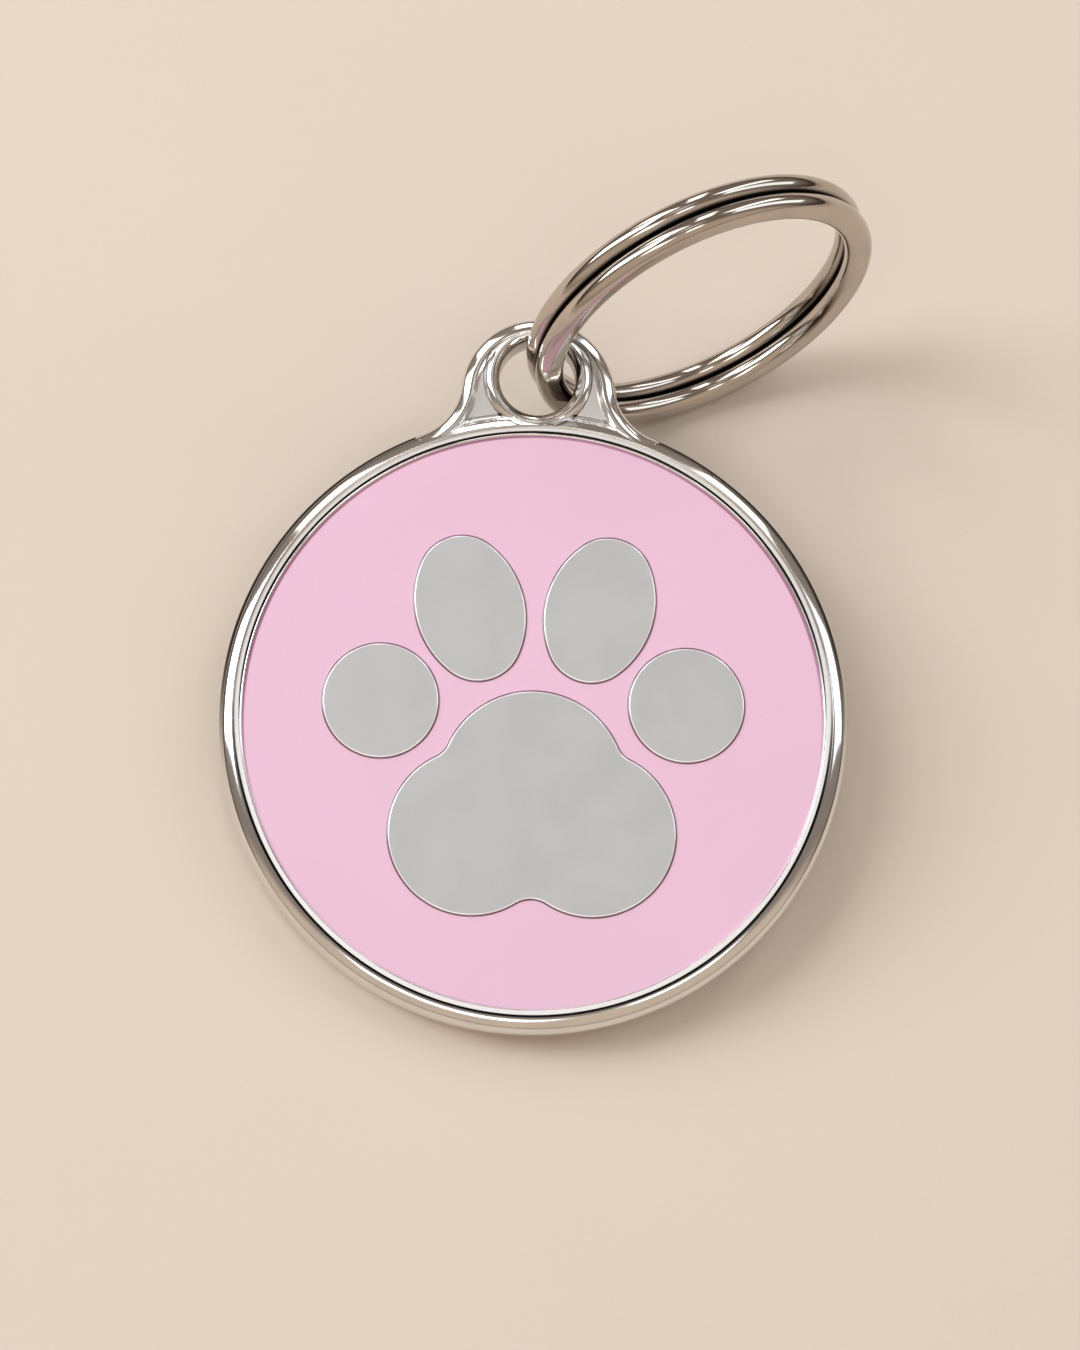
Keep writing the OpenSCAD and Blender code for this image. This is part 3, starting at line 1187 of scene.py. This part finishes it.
    def web_height(self, spot: Array) -> Array:
        """Half thickness of the filled eye at points of the tag's plane.

        Formula: the soft greatest of the rim's bead, the slope inwards of the
        eye's bead, and the lip, T - r + sqrt(r^2 - d^2) over its middle line
        and a steep slope outside it.

        Args:
            spot: x and y of each point, in mm.

        Returns:
            The half thicknesses, in mm.
        """
        eye, disc, centre = self.eye, self.disc, self.flare_centre()
        side = np.stack([np.abs(spot[..., 0]), spot[..., 1]], -1)
        lip_r = eye.lip_w / 2.0
        off_lip = np.abs(np.linalg.norm(spot - eye.hole, axis=-1) - eye.hole_r - lip_r)
        lip = (eye.lip_t / 2.0 - lip_r + np.sqrt(np.maximum(lip_r ** 2 - off_lip ** 2, 0.0))
               - eye.lip_slope * np.maximum(off_lip - lip_r, 0.0))
        arch_side = side[..., 1] > centre[1] + (eye.arch_y - centre[1]) * (
            1.0 - side[..., 0] / centre[0])
        inwards = np.where(arch_side, eye.crest_r - np.linalg.norm(spot - eye.arch, axis=-1),
                           np.linalg.norm(side - centre, axis=-1) - eye.flare_crest_r)
        height = eye.slope(np.maximum(inwards, 0.0))
        for one in (lip, disc.bead_height(np.linalg.norm(spot, axis=-1))):
            height = soft_max(height, one - eye.fillet_sink, eye.fillet)
        return height

    def eye_web(self) -> Skin:
        """The web, with its fillets against the lip, the bead and the rim.

        Formula: hole + (1 - t) lip ray + t reach ray, at plus and minus the
        half thickness there. It is partly satin off the crest lines, with
        painted shade along its seams at the lip and the rim.

        Returns:
            The web's surface.
        """
        eye = self.eye
        angle = round_angles(self.web_turns)
        share = np.append(np.linspace(0.0, self.web_end, self.web_rows), 1.0)[None, :]
        inner = eye.lip_middle_r
        reach = self.web_reach(angle)[:, None]
        radius = inner + (reach - inner) * share
        spot = eye.hole + radius[..., None] * rays(angle)[:, None]
        height = self.web_height(spot)
        from_lip = radius - eye.hole_r - eye.lip_w - eye.seam_off
        from_rim = np.linalg.norm(spot, axis=-1) - self.disc.radius - eye.seam_off
        # Painted shade along the seams at the lip and the rim.
        grime = (eye.lip_grime * np.exp(-(from_lip / eye.seam_w) ** 2)
                 + eye.rim_grime * np.exp(-(from_rim / eye.seam_w) ** 2))
        mark = grime - eye.web_satin * smooth((reach - radius) / eye.satin_ramp) * (1.0 - grime)
        skin = Skin()
        skin.grid(np.concatenate([raised(spot, height), raised(spot, -height)[:, ::-1]], 1),
                  wrap_rows=True, wrap_columns=True,
                  mark=np.concatenate([mark, mark[:, ::-1]], 1))
        return skin

    def build(self, finish: PolishedNickel) -> None:
        """Makes the casting's pieces.

        Args:
            finish: what they are dressed in.
        """
        material = finish.material("polished_nickel")
        parts = {"cast_disc_and_rim": self.rim(), "eye_bead": self.eye_bead(),
                 "eye_lip": self.eye_lip(), "eye_web": self.eye_web()}
        for name, skin in parts.items():
            make_piece(name, skin, self.lie, Body.TAG, material, "tag_body")


@dataclass(frozen=True)
class PawSizes:
    """The paw's outlines and heights, in mm and degrees."""

    outer_x: float = 7.28
    outer_y: float = 0.76
    outer_r: float = 2.75
    inner_x: float = 3.1
    inner_y: float = 5.31
    inner_l: float = 7.16
    inner_w: float = 5.2
    inner_end_r: float = 2.1
    inner_lean: float = 15.5
    dome_y: float = -3.07
    dome_r: float = 4.38
    lobe_x: float = 2.85
    lobe_y: float = -5.48
    lobe_r: float = 3.96
    shoulder_r: float = 1.2
    notch_r: float = 1.4
    floor_z: float = 0.11
    pad_z: float = 0.92
    bevel: float = 0.06
    bevel_end: float = 0.012
    face_edge: float = 0.1
    face_shares: tuple[float, ...] = (0.8, 0.6, 0.4, 0.2, 0.0)
    spacing: float = 0.09


def hollow_centre(first: Arc, second: Arc, radius: float) -> Array:
    """Centre of the circle of a radius that touches two circles from outside.

    Formula: with the distances A and B from the circles' centres and D
    between them, (A^2 - B^2 + D^2) / (2 D) along and the rest to the right.

    Args:
        first: the circle that the way starts from.
        second: the circle that it goes to.
        radius: the touching circle's radius, in mm.

    Returns:
        Its centre, to the right of the way.
    """
    gap = float(np.linalg.norm(second.middle - first.middle))
    near, far = first.radius + radius, second.radius + radius
    along = (near ** 2 - far ** 2 + gap ** 2) / (2.0 * gap)
    way = (second.middle - first.middle) / gap
    right = np.array([way[1], -way[0]])
    return first.middle + along * way + math.sqrt(near ** 2 - along ** 2) * right


def bearing(centre: Array, towards: Array) -> float:
    """Direction from one point to another, in degrees from 0 to 360."""
    return math.degrees(math.atan2(towards[1] - centre[1], towards[0] - centre[0])) % 360.0


@dataclass(frozen=True)
class Paw:
    """The five satin pads."""

    lie: Lie
    sizes: PawSizes = PawSizes()

    def outer_toe(self, side: float) -> Outline:
        """A round toe, one circle, at the right for a side of 1 and at the left for -1."""
        x, y = side * self.sizes.outer_x, self.sizes.outer_y
        return Outline((Arc(x, y, self.sizes.outer_r),), (x, y))

    def inner_toe(self, side: float) -> Outline:
        """An oval toe, leaning outwards.

        Formula: two wide side arcs and two end arcs that meet tangent, with
        R = (e^2 + w^2 / 4 - r^2) / (w - 2 r) for ends of radius r at +-e.

        Args:
            side: 1 for the right toe, -1 for the left.

        Returns:
            Its outline.
        """
        paw = self.sizes
        end_y = paw.inner_l / 2.0 - paw.inner_end_r
        side_r = (end_y ** 2 + (paw.inner_w / 2.0) ** 2 - paw.inner_end_r ** 2) / (
            paw.inner_w - 2.0 * paw.inner_end_r)
        side_x = side_r - paw.inner_w / 2.0
        half = math.degrees(math.atan2(end_y, side_x))
        lean = -side * paw.inner_lean
        cosine, sine = math.cos(math.radians(lean)), math.sin(math.radians(lean))
        middle = np.array([side * paw.inner_x, paw.inner_y])
        plain = [(-side_x, 0.0, side_r, -half, 2.0 * half),
                 (0.0, end_y, paw.inner_end_r, half, 180.0 - 2.0 * half),
                 (side_x, 0.0, side_r, 180.0 - half, 2.0 * half),
                 (0.0, -end_y, paw.inner_end_r, 180.0 + half, 180.0 - 2.0 * half)]
        arcs = []
        for x, y, radius, start, sweep in plain:
            place = middle + np.array([[cosine, -sine], [sine, cosine]]) @ np.array([x, y])
            arcs.append(Arc(place[0], place[1], radius, start + lean, sweep))
        return Outline(tuple(arcs), (middle[0], middle[1]))

    def main_pad(self) -> Outline:
        """The main pad: a dome and two lobes, with hollows between them.

        Formula: six arcs, each from the bearing of the circle before to the
        bearing of the circle after.

        Returns:
            Its outline.
        """
        paw = self.sizes
        circles = {"dome": Arc(0.0, paw.dome_y, paw.dome_r),
                   "left_lobe": Arc(-paw.lobe_x, paw.lobe_y, paw.lobe_r),
                   "right_lobe": Arc(paw.lobe_x, paw.lobe_y, paw.lobe_r)}
        x, y = hollow_centre(circles["dome"], circles["left_lobe"], paw.shoulder_r)
        circles["left"] = Arc(x, y, paw.shoulder_r)
        circles["right"] = Arc(-x, y, paw.shoulder_r)
        x, y = hollow_centre(circles["left_lobe"], circles["right_lobe"], paw.notch_r)
        circles["notch"] = Arc(x, y, paw.notch_r)
        way = [("dome", "right", "left", 1.0), ("left", "dome", "left_lobe", -1.0),
               ("left_lobe", "left", "notch", 1.0), ("notch", "left_lobe", "right_lobe", -1.0),
               ("right_lobe", "notch", "right", 1.0), ("right", "right_lobe", "dome", -1.0)]
        arcs = []
        for name, before, after, sense in way:
            one = circles[name]
            start = bearing(one.middle, circles[before].middle)
            end = bearing(one.middle, circles[after].middle)
            sweep = sense * ((sense * (end - start)) % 360.0)
            arcs.append(Arc(one.x, one.y, one.radius, start, sweep))
        return Outline(tuple(arcs), (0.0, 0.5 * (paw.dome_y + paw.lobe_y)))

    def outlines(self) -> dict[str, Outline]:
        """The outlines by the nodes that they belong to."""
        return {"main_pad": self.main_pad(),
                "inner_left_toe": self.inner_toe(-1.0), "inner_right_toe": self.inner_toe(1.0),
                "outer_left_toe": self.outer_toe(-1.0), "outer_right_toe": self.outer_toe(1.0)}

    def pad(self, outline: Outline) -> Skin:
        """A pad: its outline carried up the wall, over the round bevel and to its middle.

        Formula: rows of the outline at an inset and a height, and then of
        middle + share (outline - middle).

        Args:
            outline: the pad's outline.

        Returns:
            The pad's surface, marked on the bevel, where a highlight is painted.
        """
        paw = self.sizes
        turn = np.radians(np.linspace(0.0, 90.0, 6))
        wall = [paw.floor_z, paw.floor_z + CLOSE, paw.pad_z - paw.bevel - CLOSE]
        insets = np.concatenate([np.zeros(len(wall)), paw.bevel * (1.0 - np.cos(turn)),
                                 [paw.bevel + paw.bevel_end, paw.bevel + paw.face_edge]])
        heights = np.concatenate([wall, paw.pad_z - paw.bevel * (1.0 - np.sin(turn)),
                                  [paw.pad_z, paw.pad_z]])
        rows = [raised(outline.loop(float(inset), paw.spacing), height)
                for inset, height in zip(insets, heights)]
        middle, last = np.array(outline.middle), rows[-1][:, :2]
        rows += [raised(middle + share * (last - middle), paw.pad_z)
                 for share in paw.face_shares]
        grid = np.stack([raised(np.broadcast_to(middle, last.shape), paw.floor_z), *rows])
        # The bevel's rows carry the mark for its painted highlight.
        bright = np.zeros(grid.shape[:2])
        bright[len(wall):len(wall) + 1 + len(turn)] = 1.0
        skin = Skin()
        skin.grid(grid, wrap_columns=True, mark=bright)
        return skin

    def build(self, finish: SatinMetal) -> None:
        """Makes the pads.

        Args:
            finish: what they are dressed in.
        """
        material = finish.material("satin_pad_metal")
        for node, outline in self.outlines().items():
            make_piece(f"satin_{node}", self.pad(outline), self.lie, Body.TAG,
                       material, node)


@dataclass(frozen=True)
class EnamelField:
    """The enamel, with an opening for each pad and a rise where it wets the metal."""

    lie: Lie
    paw: Paw
    disc: DiscSizes = DiscSizes()
    wet_w: float = 0.13
    wet_rise: float = 0.03
    wet_shares: tuple[float, ...] = (0.0, 0.06, 0.14, 0.22, 0.3, 0.42, 0.56, 0.72, 0.86, 1.0, 1.2)
    # Widths and strengths of the painted shade beside the pads and the rim, fainter at the low
    # side.
    line_w: float = 0.07
    rim_line_w: float = 0.1
    rim_line: float = 0.5
    low_line: float = 0.12
    low_from: float = -0.35
    low_over: float = 0.5
    rim_spacing: float = 0.12
    tolerance: float = 1e-7

    def border(self, outline: Outline, sense: float, spacing: float) -> tuple[Array, Array]:
        """The enamel's border along one outline, from its underside to its face.

        Formula: height = face + rise (1 - d / w)^2 at the distance d from the
        metal. The painted shade along the rim is fainter at the tag's low side.

        Args:
            outline: the metal's outline.
            sense: 1 where the enamel lies outside it, -1 where inside.
            spacing: the most between two points, in mm.

        Returns:
            The border's grid and its painted shade, which rises with nearness to the metal.
        """
        disc = self.disc
        share = np.array(self.wet_shares)
        away = np.concatenate([[self.wet_w, 0.0, 0.0], self.wet_w * share])
        height = np.concatenate([
            [disc.floor_z, disc.floor_z, disc.enamel_z - CLOSE],
            disc.enamel_z + self.wet_rise * (1.0 - np.minimum(share, 1.0)) ** 2])
        grid = np.stack([raised(outline.loop(-sense * distance, spacing), level)
                         for distance, level in zip(away, height)])
        if sense > 0.0:
            line_w, depth = self.line_w, np.ones(grid.shape[1])
        else:
            upper = smooth((grid[-1, :, 1] / disc.enamel_r - self.low_from) / self.low_over)
            line_w, depth = self.rim_line_w, self.low_line + (self.rim_line - self.low_line) * upper
        return grid, depth * np.exp(-(away[:, None] / line_w) ** 4)

    def skin(self) -> Skin:
        """The enamel: its borders, and flat facets between them above and below.

        Formula: a triangulation of the borders' inner loops, less what lies
        in an opening, at the face's height and at the floor's.

        Returns:
            The enamel's surface.
        """
        skin = Skin()
        circle = Outline((Arc(0.0, 0.0, self.disc.enamel_r),), (0.0, 0.0))
        borders = [(circle, -1.0, self.rim_spacing)]
        borders += [(outline, 1.0, self.paw.sizes.spacing)
                    for outline in self.paw.outlines().values()]
        loops, edges, start = [], [], 0
        for outline, sense, spacing in borders:
            grid, nearness = self.border(outline, sense, spacing)
            loop = grid[-1, :, :2]
            skin.grid(grid, wrap_columns=True, mark=nearness)
            skin.grid(np.stack([grid[0], raised(loop, grid[0, :, 2])]), wrap_columns=True)
            index = np.arange(len(loop))
            edges.append(np.stack([start + index, start + (index + 1) % len(loop)], 1))
            start += len(loop)
            loops.append(loop)
        flat = np.concatenate(loops)
        found = delaunay_2d_cdt([Vector(spot) for spot in flat], np.concatenate(edges).tolist(),
                                [], 1, self.tolerance)
        triangles = np.array(found[2])
        middles = flat[triangles].mean(1)
        for loop in loops[1:]:
            kept = ~self.inside(middles, loop)
            triangles, middles = triangles[kept], middles[kept]
        for level in (self.disc.enamel_z, self.disc.floor_z):
            skin.facets(raised(flat, level), triangles)
        return skin

    def inside(self, spots: Array, loop: Array) -> Array:
        """Which points lie inside a loop, by the crossings of a ray to the right.

        Args:
            spots: points to test.
            loop: a closed outline's points.

        Returns:
            True for each point inside.
        """
        start, end = loop[None], np.roll(loop, -1, 0)[None]
        x, y = spots[:, None, 0], spots[:, None, 1]
        crosses = (start[..., 1] > y) != (end[..., 1] > y)
        rise = np.where(crosses, end[..., 1] - start[..., 1], 1.0)
        at = start[..., 0] + (y - start[..., 1]) * (end[..., 0] - start[..., 0]) / rise
        return (crosses & (x < at)).sum(1) % 2 == 1

    def build(self, finish: GlossEnamel) -> None:
        """Makes the enamel field in its finish."""
        make_piece("pink_enamel_field", self.skin(), self.lie, Body.TAG,
                   finish.material("gloss_enamel"), "enamel_field")


@dataclass(frozen=True)
class SplitRing:
    """The split ring: one wire of two turns, in mm and degrees."""

    lie: Lie
    turn_r: float = 8.2
    wire_w: float = 1.4 - 2.0 * SKIN
    wire_t: float = 1.04 - 2.0 * SKIN
    pitch: float = 1.09
    step_at: float = 211.0
    step_angle: float = 16.0
    end_angle: float = 3.0
    end_round: float = 0.9
    end_scale: float = 0.82
    end_swell: float = 0.18
    grime_from: float = 0.07
    grime_to: float = 0.19
    apart_from: float = 0.42
    apart_over: float = 0.07
    rows: int = 1300
    section_points: int = 20

    def skin(self) -> Skin:
        """The wire: its section carried over two turns.

        Formula: (R + u) (cos a, sin a) and the height h(a) + v over the
        section's u and v, with the section square to the wire, where h goes
        from one turn's height to the other's in a smooth step. The mark, painted
        shade, is 1 in the groove between the turns, near their middle plane.

        Returns:
            The wire's surface.
        """
        half_step = self.step_angle / 2.0
        start, end = half_step + self.end_angle, 720.0 - half_step - self.end_angle
        turn = np.linspace(start, end, self.rows)
        rise = smooth((turn - 360.0 + half_step) / self.step_angle)
        height = self.pitch * (rise - 0.5)
        outward = raised(rays(np.radians(turn + self.step_at)), 0.0)
        forward = outward[:, [1, 0, 2]] * np.array([-1.0, 1.0, 1.0])
        slope = np.arctan(np.gradient(height, np.radians(turn)) / self.turn_r)
        up = np.array([0.0, 0.0, 1.0])
        across = up * np.cos(slope)[:, None] - forward * np.sin(slope)[:, None]
        line = self.turn_r * outward + height[:, None] * up
        from_end = np.clip(np.minimum(turn - start, end - turn) / self.end_round, 0.0, 1.0)
        scale = self.end_scale + self.end_swell * np.sqrt(1.0 - (1.0 - from_end) ** 2)
        scale[[0, -1]] = 0.0
        section = stadium(self.wire_t, self.wire_w, self.section_points)
        wide, tall = section[:, 1], section[:, 0]
        points = (line[:, None] + scale[:, None, None] * (
            wide[None, :, None] * outward[:, None] + tall[None, :, None] * across[:, None]))
        points[[0, -1]] = points[[1, -2]].mean(1, keepdims=True)
        # Painted shade in the groove between the turns, near their middle plane.
        level = smooth((np.abs(height) / self.pitch - self.apart_from) / self.apart_over)[:, None]
        depth = (np.abs(points[..., 2]) - self.grime_from) / (self.grime_to - self.grime_from)
        skin = Skin()
        skin.grid(points, wrap_columns=True, mark=level * (1.0 - smooth(depth)))
        return skin

    def unroll(self, piece: bpy.types.Object) -> None:
        """Gives the wire a UV map: mm along the turn, and mm round the section.

        Formula: u = R a about the ring's axis, v = (wire_t / 2) b about the
        wire's middle line.

        Args:
            piece: the wire.
        """
        mesh = piece.data
        where = np.empty(len(mesh.vertices) * 3, np.float32)
        mesh.vertices.foreach_get("co", where)
        own = (where.reshape(-1, 3) - self.lie.origin) / MM
        x, y, z = own @ self.lie.x, own @ self.lie.y, own @ self.lie.z
        along = self.turn_r * np.abs(np.arctan2(y, x))
        around = self.wire_t / 2.0 * np.abs(np.arctan2(np.abs(z) - self.pitch / 2.0,
                                                       np.hypot(x, y) - self.turn_r))
        corner = np.empty(len(mesh.loops), np.int32)
        mesh.loops.foreach_get("vertex_index", corner)
        pairs = np.stack([along, around], 1)[corner]
        mesh.uv_layers.new(name=WIRE_MAP).data.foreach_set("uv", pairs.astype(np.float32).ravel())

    def build(self, finish: SpringWire) -> None:
        """Makes the ring in its finish."""
        self.unroll(make_piece("split_ring_wire", self.skin(), self.lie, Body.RING,
                               finish.material("bright_spring_wire"), "split_ring"))


@dataclass(frozen=True)
class Softbox:
    """A lamp with four corners that lights evenly: bearing in degrees, sizes in metres."""

    name: str
    azimuth: float
    elevation: float
    width: float
    length: float
    brightness: float
    colour: Colour = (1.0, 1.0, 1.0)
    distance: float = 0.60

    def build(self, aim: Array) -> None:
        """Hangs the lamp at its bearing from the aim, facing it.

        Formula: its power is brightness times pi times its area.

        Args:
            aim: the point that it faces, in metres.
        """
        lamp = bpy.data.lights.new(self.name, "AREA")
        lamp.shape = "RECTANGLE"
        lamp.size, lamp.size_y = self.width, self.length
        lamp.energy = self.brightness * math.pi * self.width * self.length
        lamp.color = self.colour
        away = direction(self.azimuth, self.elevation)
        facing = Vector(away).to_track_quat("Z", "Y").to_matrix().to_4x4()
        place = Matrix.Translation(Vector(aim + self.distance * away))
        add_object(self.name, lamp).matrix_world = place @ facing


COOL = (0.88, 0.94, 1.0)


@dataclass(frozen=True)
class Studio:
    """Floor, surroundings and lamps."""

    floor_r: float = 4.0
    floor_rings: tuple[float, ...] = (0.02, 0.06, 0.15, 0.4, 1.0)
    floor_sides: int = 96
    low_front: Colour = (0.42, 0.34, 0.27)
    low_back: Colour = (0.045, 0.035, 0.028)
    backdrop: Colour = (0.80, 0.70, 0.60)
    back: Colour = (0.26, 0.215, 0.18)
    front: Colour = (0.66, 0.54, 0.43)
    back_from: float = -0.5
    back_to: float = -0.2
    low_to: float = 0.05
    room_from: float = 0.28
    horizon: float = 0.04
    softboxes: tuple[Softbox, ...] = (
        Softbox("overhead_softbox", -110.0, 86.5, 0.17, 0.17, 0.5),
        Softbox("key_softbox", -103.0, 42.0, 0.24, 0.50, 6.0, (0.90, 0.95, 1.0)),
        Softbox("left_back_softbox", -139.0, 45.0, 0.13, 0.48, 2.4, (0.98, 0.97, 0.96)),
        Softbox("back_softbox", -170.0, 40.0, 0.10, 0.34, 2.4),
        Softbox("right_back_softbox", 143.0, 46.0, 0.13, 0.44, 2.4, COOL),
        Softbox("right_softbox", 104.0, 42.0, 0.22, 0.50, 1.8, (0.80, 0.92, 1.0)),
        Softbox("right_front_strip", 26.0, 66.0, 0.10, 0.12, 2.6, COOL),
        Softbox("left_front_strip", -21.0, 58.0, 0.22, 0.14, 2.6, COOL))

    def floor(self, finish: PaleFloor) -> None:
        """Lays a round floor under the object.

        Formula: rings of (r cos a, r sin a, 0).

        Args:
            finish: what it is dressed in.
        """
        radius = self.floor_r * np.array(self.floor_rings)[:, None, None]
        rings = raised(radius * rays(round_angles(self.floor_sides)), 0.0)
        index = np.arange(rings[..., 0].size).reshape(rings.shape[:2])
        onward = np.roll(index, -1, 1)
        quads = np.stack([index[:-1], index[1:], onward[1:], onward[:-1]], -1).reshape(-1, 4)
        mesh = bpy.data.meshes.new("pale_floor")
        mesh.from_pydata(rings.reshape(-1, 3), [], [index[0].tolist(), *quads.tolist()])
        mesh.materials.append(finish.material("pale_floor"))
        add_object("pale_floor", mesh)

    def surroundings(self) -> None:
        """A dim room, lighter and warmer in front, darker low down at the back.

        The camera sees a plain pale backdrop in its place, and metal mirrors that
        along the horizon.
        """
        world = bpy.data.worlds.new("studio")
        bpy.context.scene.world = world
        world.use_nodes = True
        shader = Shader(world.node_tree)
        towards = shader.node("ShaderNodeTexCoord").outputs["Generated"]
        parts = shader.node("ShaderNodeSeparateXYZ", {}, {0: towards}).outputs
        height = Value(shader, parts["Z"])
        behind = Value(shader, parts["Y"]).over(self.back_from, self.back_to)
        room = shader.blend(behind, self.front, self.back)
        low = shader.blend(behind, self.low_front, self.low_back)
        mirrored = shader.blend(height.over(self.low_to, self.room_from), low, room)
        ray = shader.node("ShaderNodeLightPath").outputs
        bounced = Value(shader, ray["Is Glossy Ray"]) + Value(shader, ray["Is Transmission Ray"])
        shown = Value(shader, ray["Is Camera Ray"]) + bounced * height.over(self.horizon, 0.0)
        colour = shader.blend(shown, mirrored, self.backdrop)
        light = shader.node("ShaderNodeBackground", {}, {"Color": colour, "Strength": 1.0})
        shader.node("ShaderNodeOutputWorld", {}, {"Surface": light.outputs[0]})

    def build(self, aim: Array) -> None:
        """Sets up the floor, the surroundings and the lamps.

        Args:
            aim: the point that the lamps face, in metres.
        """
        self.floor(PaleFloor())
        self.surroundings()
        for softbox in self.softboxes:
            softbox.build(aim)
        bpy.context.scene.view_settings.view_transform = "Standard"
        LOG.info("studio: %d lamps", len(self.softboxes))


@dataclass(frozen=True)
class PhotoCamera:
    """The photograph's camera: bearing in degrees, the rest in mm."""

    azimuth: float = -15.46
    elevation: float = 69.11
    roll: float = 16.65
    distance: float = 179.87
    aim: tuple[float, float, float] = (-0.16, -2.34, 3.72)
    lens: float = 100.0
    film_height: float = 36.0
    nearest: float = 1.0

    def build(self) -> None:
        """Makes the camera.

        Formula: back is the bearing, right is level and turned by the roll
        about back, and up is square to both.
        """
        around, turn = math.radians(self.azimuth), math.radians(self.roll)
        back = Vector(direction(self.azimuth, self.elevation))
        level = Vector((math.cos(around), math.sin(around), 0.0))
        right = level * math.cos(turn) + back.cross(level) * math.sin(turn)
        turned = Matrix((right, back.cross(right), back)).transposed().to_4x4()
        lens = bpy.data.cameras.new("photo_camera")
        lens.lens = self.lens
        lens.sensor_fit = "VERTICAL"
        lens.sensor_height = self.film_height
        lens.clip_start = self.nearest * MM
        camera = add_object("photo_camera", lens)
        place = Vector(self.aim) * MM + back * self.distance * MM
        camera.matrix_world = Matrix.Translation(place) @ turned
        bpy.context.scene.camera = camera


def mount(name: str) -> tuple[Array, Array]:
    """A mount of the record.

    Args:
        name: the mount's name.

    Returns:
        Its place in metres and its axis.
    """
    found = next(one for one in frame["record"]["mounts"] if one["name"] == name)
    return np.array(found["pos_m"], float), np.array(found["axis"], float)


def tag_lie() -> Lie:
    """The tag's axes, from the swing's hinge in the eye and the back face's mount.

    Returns:
        Axes with y pointing from the disc's middle to the eye and z out of the face.
    """
    hinge = frame["joints"][0]
    face = unit(np.array(hinge["axis"], float))
    middle = mount("back_face")[0] + MM * DiscSizes.half_t * face
    upward = np.array(hinge["pos_m"], float) - middle
    upward = unit(upward - face * (upward @ face))
    return Lie(middle, np.cross(upward, face), upward, face)


def ring_lie(tag: Lie, wire_x: float = 0.55, wire_y: float = 16.85) -> Lie:
    """The ring's axes, from its mount and the wire's place in the eye.

    Args:
        tag: the tag's axes.
        wire_x: the wire's middle right of the disc's middle, in mm.
        wire_y: the wire's middle above it, in mm.

    Returns:
        Axes with x pointing from the eye to the ring's far side.
    """
    centre, axis = mount("collar_ring")
    axis = unit(axis)
    away = centre - tag.place(np.array([wire_x, wire_y, 0.0]))
    away = unit(away - axis * (away @ axis))
    return Lie(centre, away, np.cross(axis, away), axis)


def main() -> None:
    """Builds the tag, the studio and the camera."""
    logging.basicConfig(level=logging.INFO, format="%(name)s: %(message)s")
    tag = tag_lie()
    paw = Paw(tag)
    CastTag(tag).build(PolishedNickel())
    EnamelField(tag, paw).build(GlossEnamel())
    paw.build(SatinMetal())
    SplitRing(ring_lie(tag)).build(SpringWire())
    camera = PhotoCamera()
    camera.build()
    Studio().build(np.array(camera.aim) * MM)


if __name__ == "__main__":
    main()
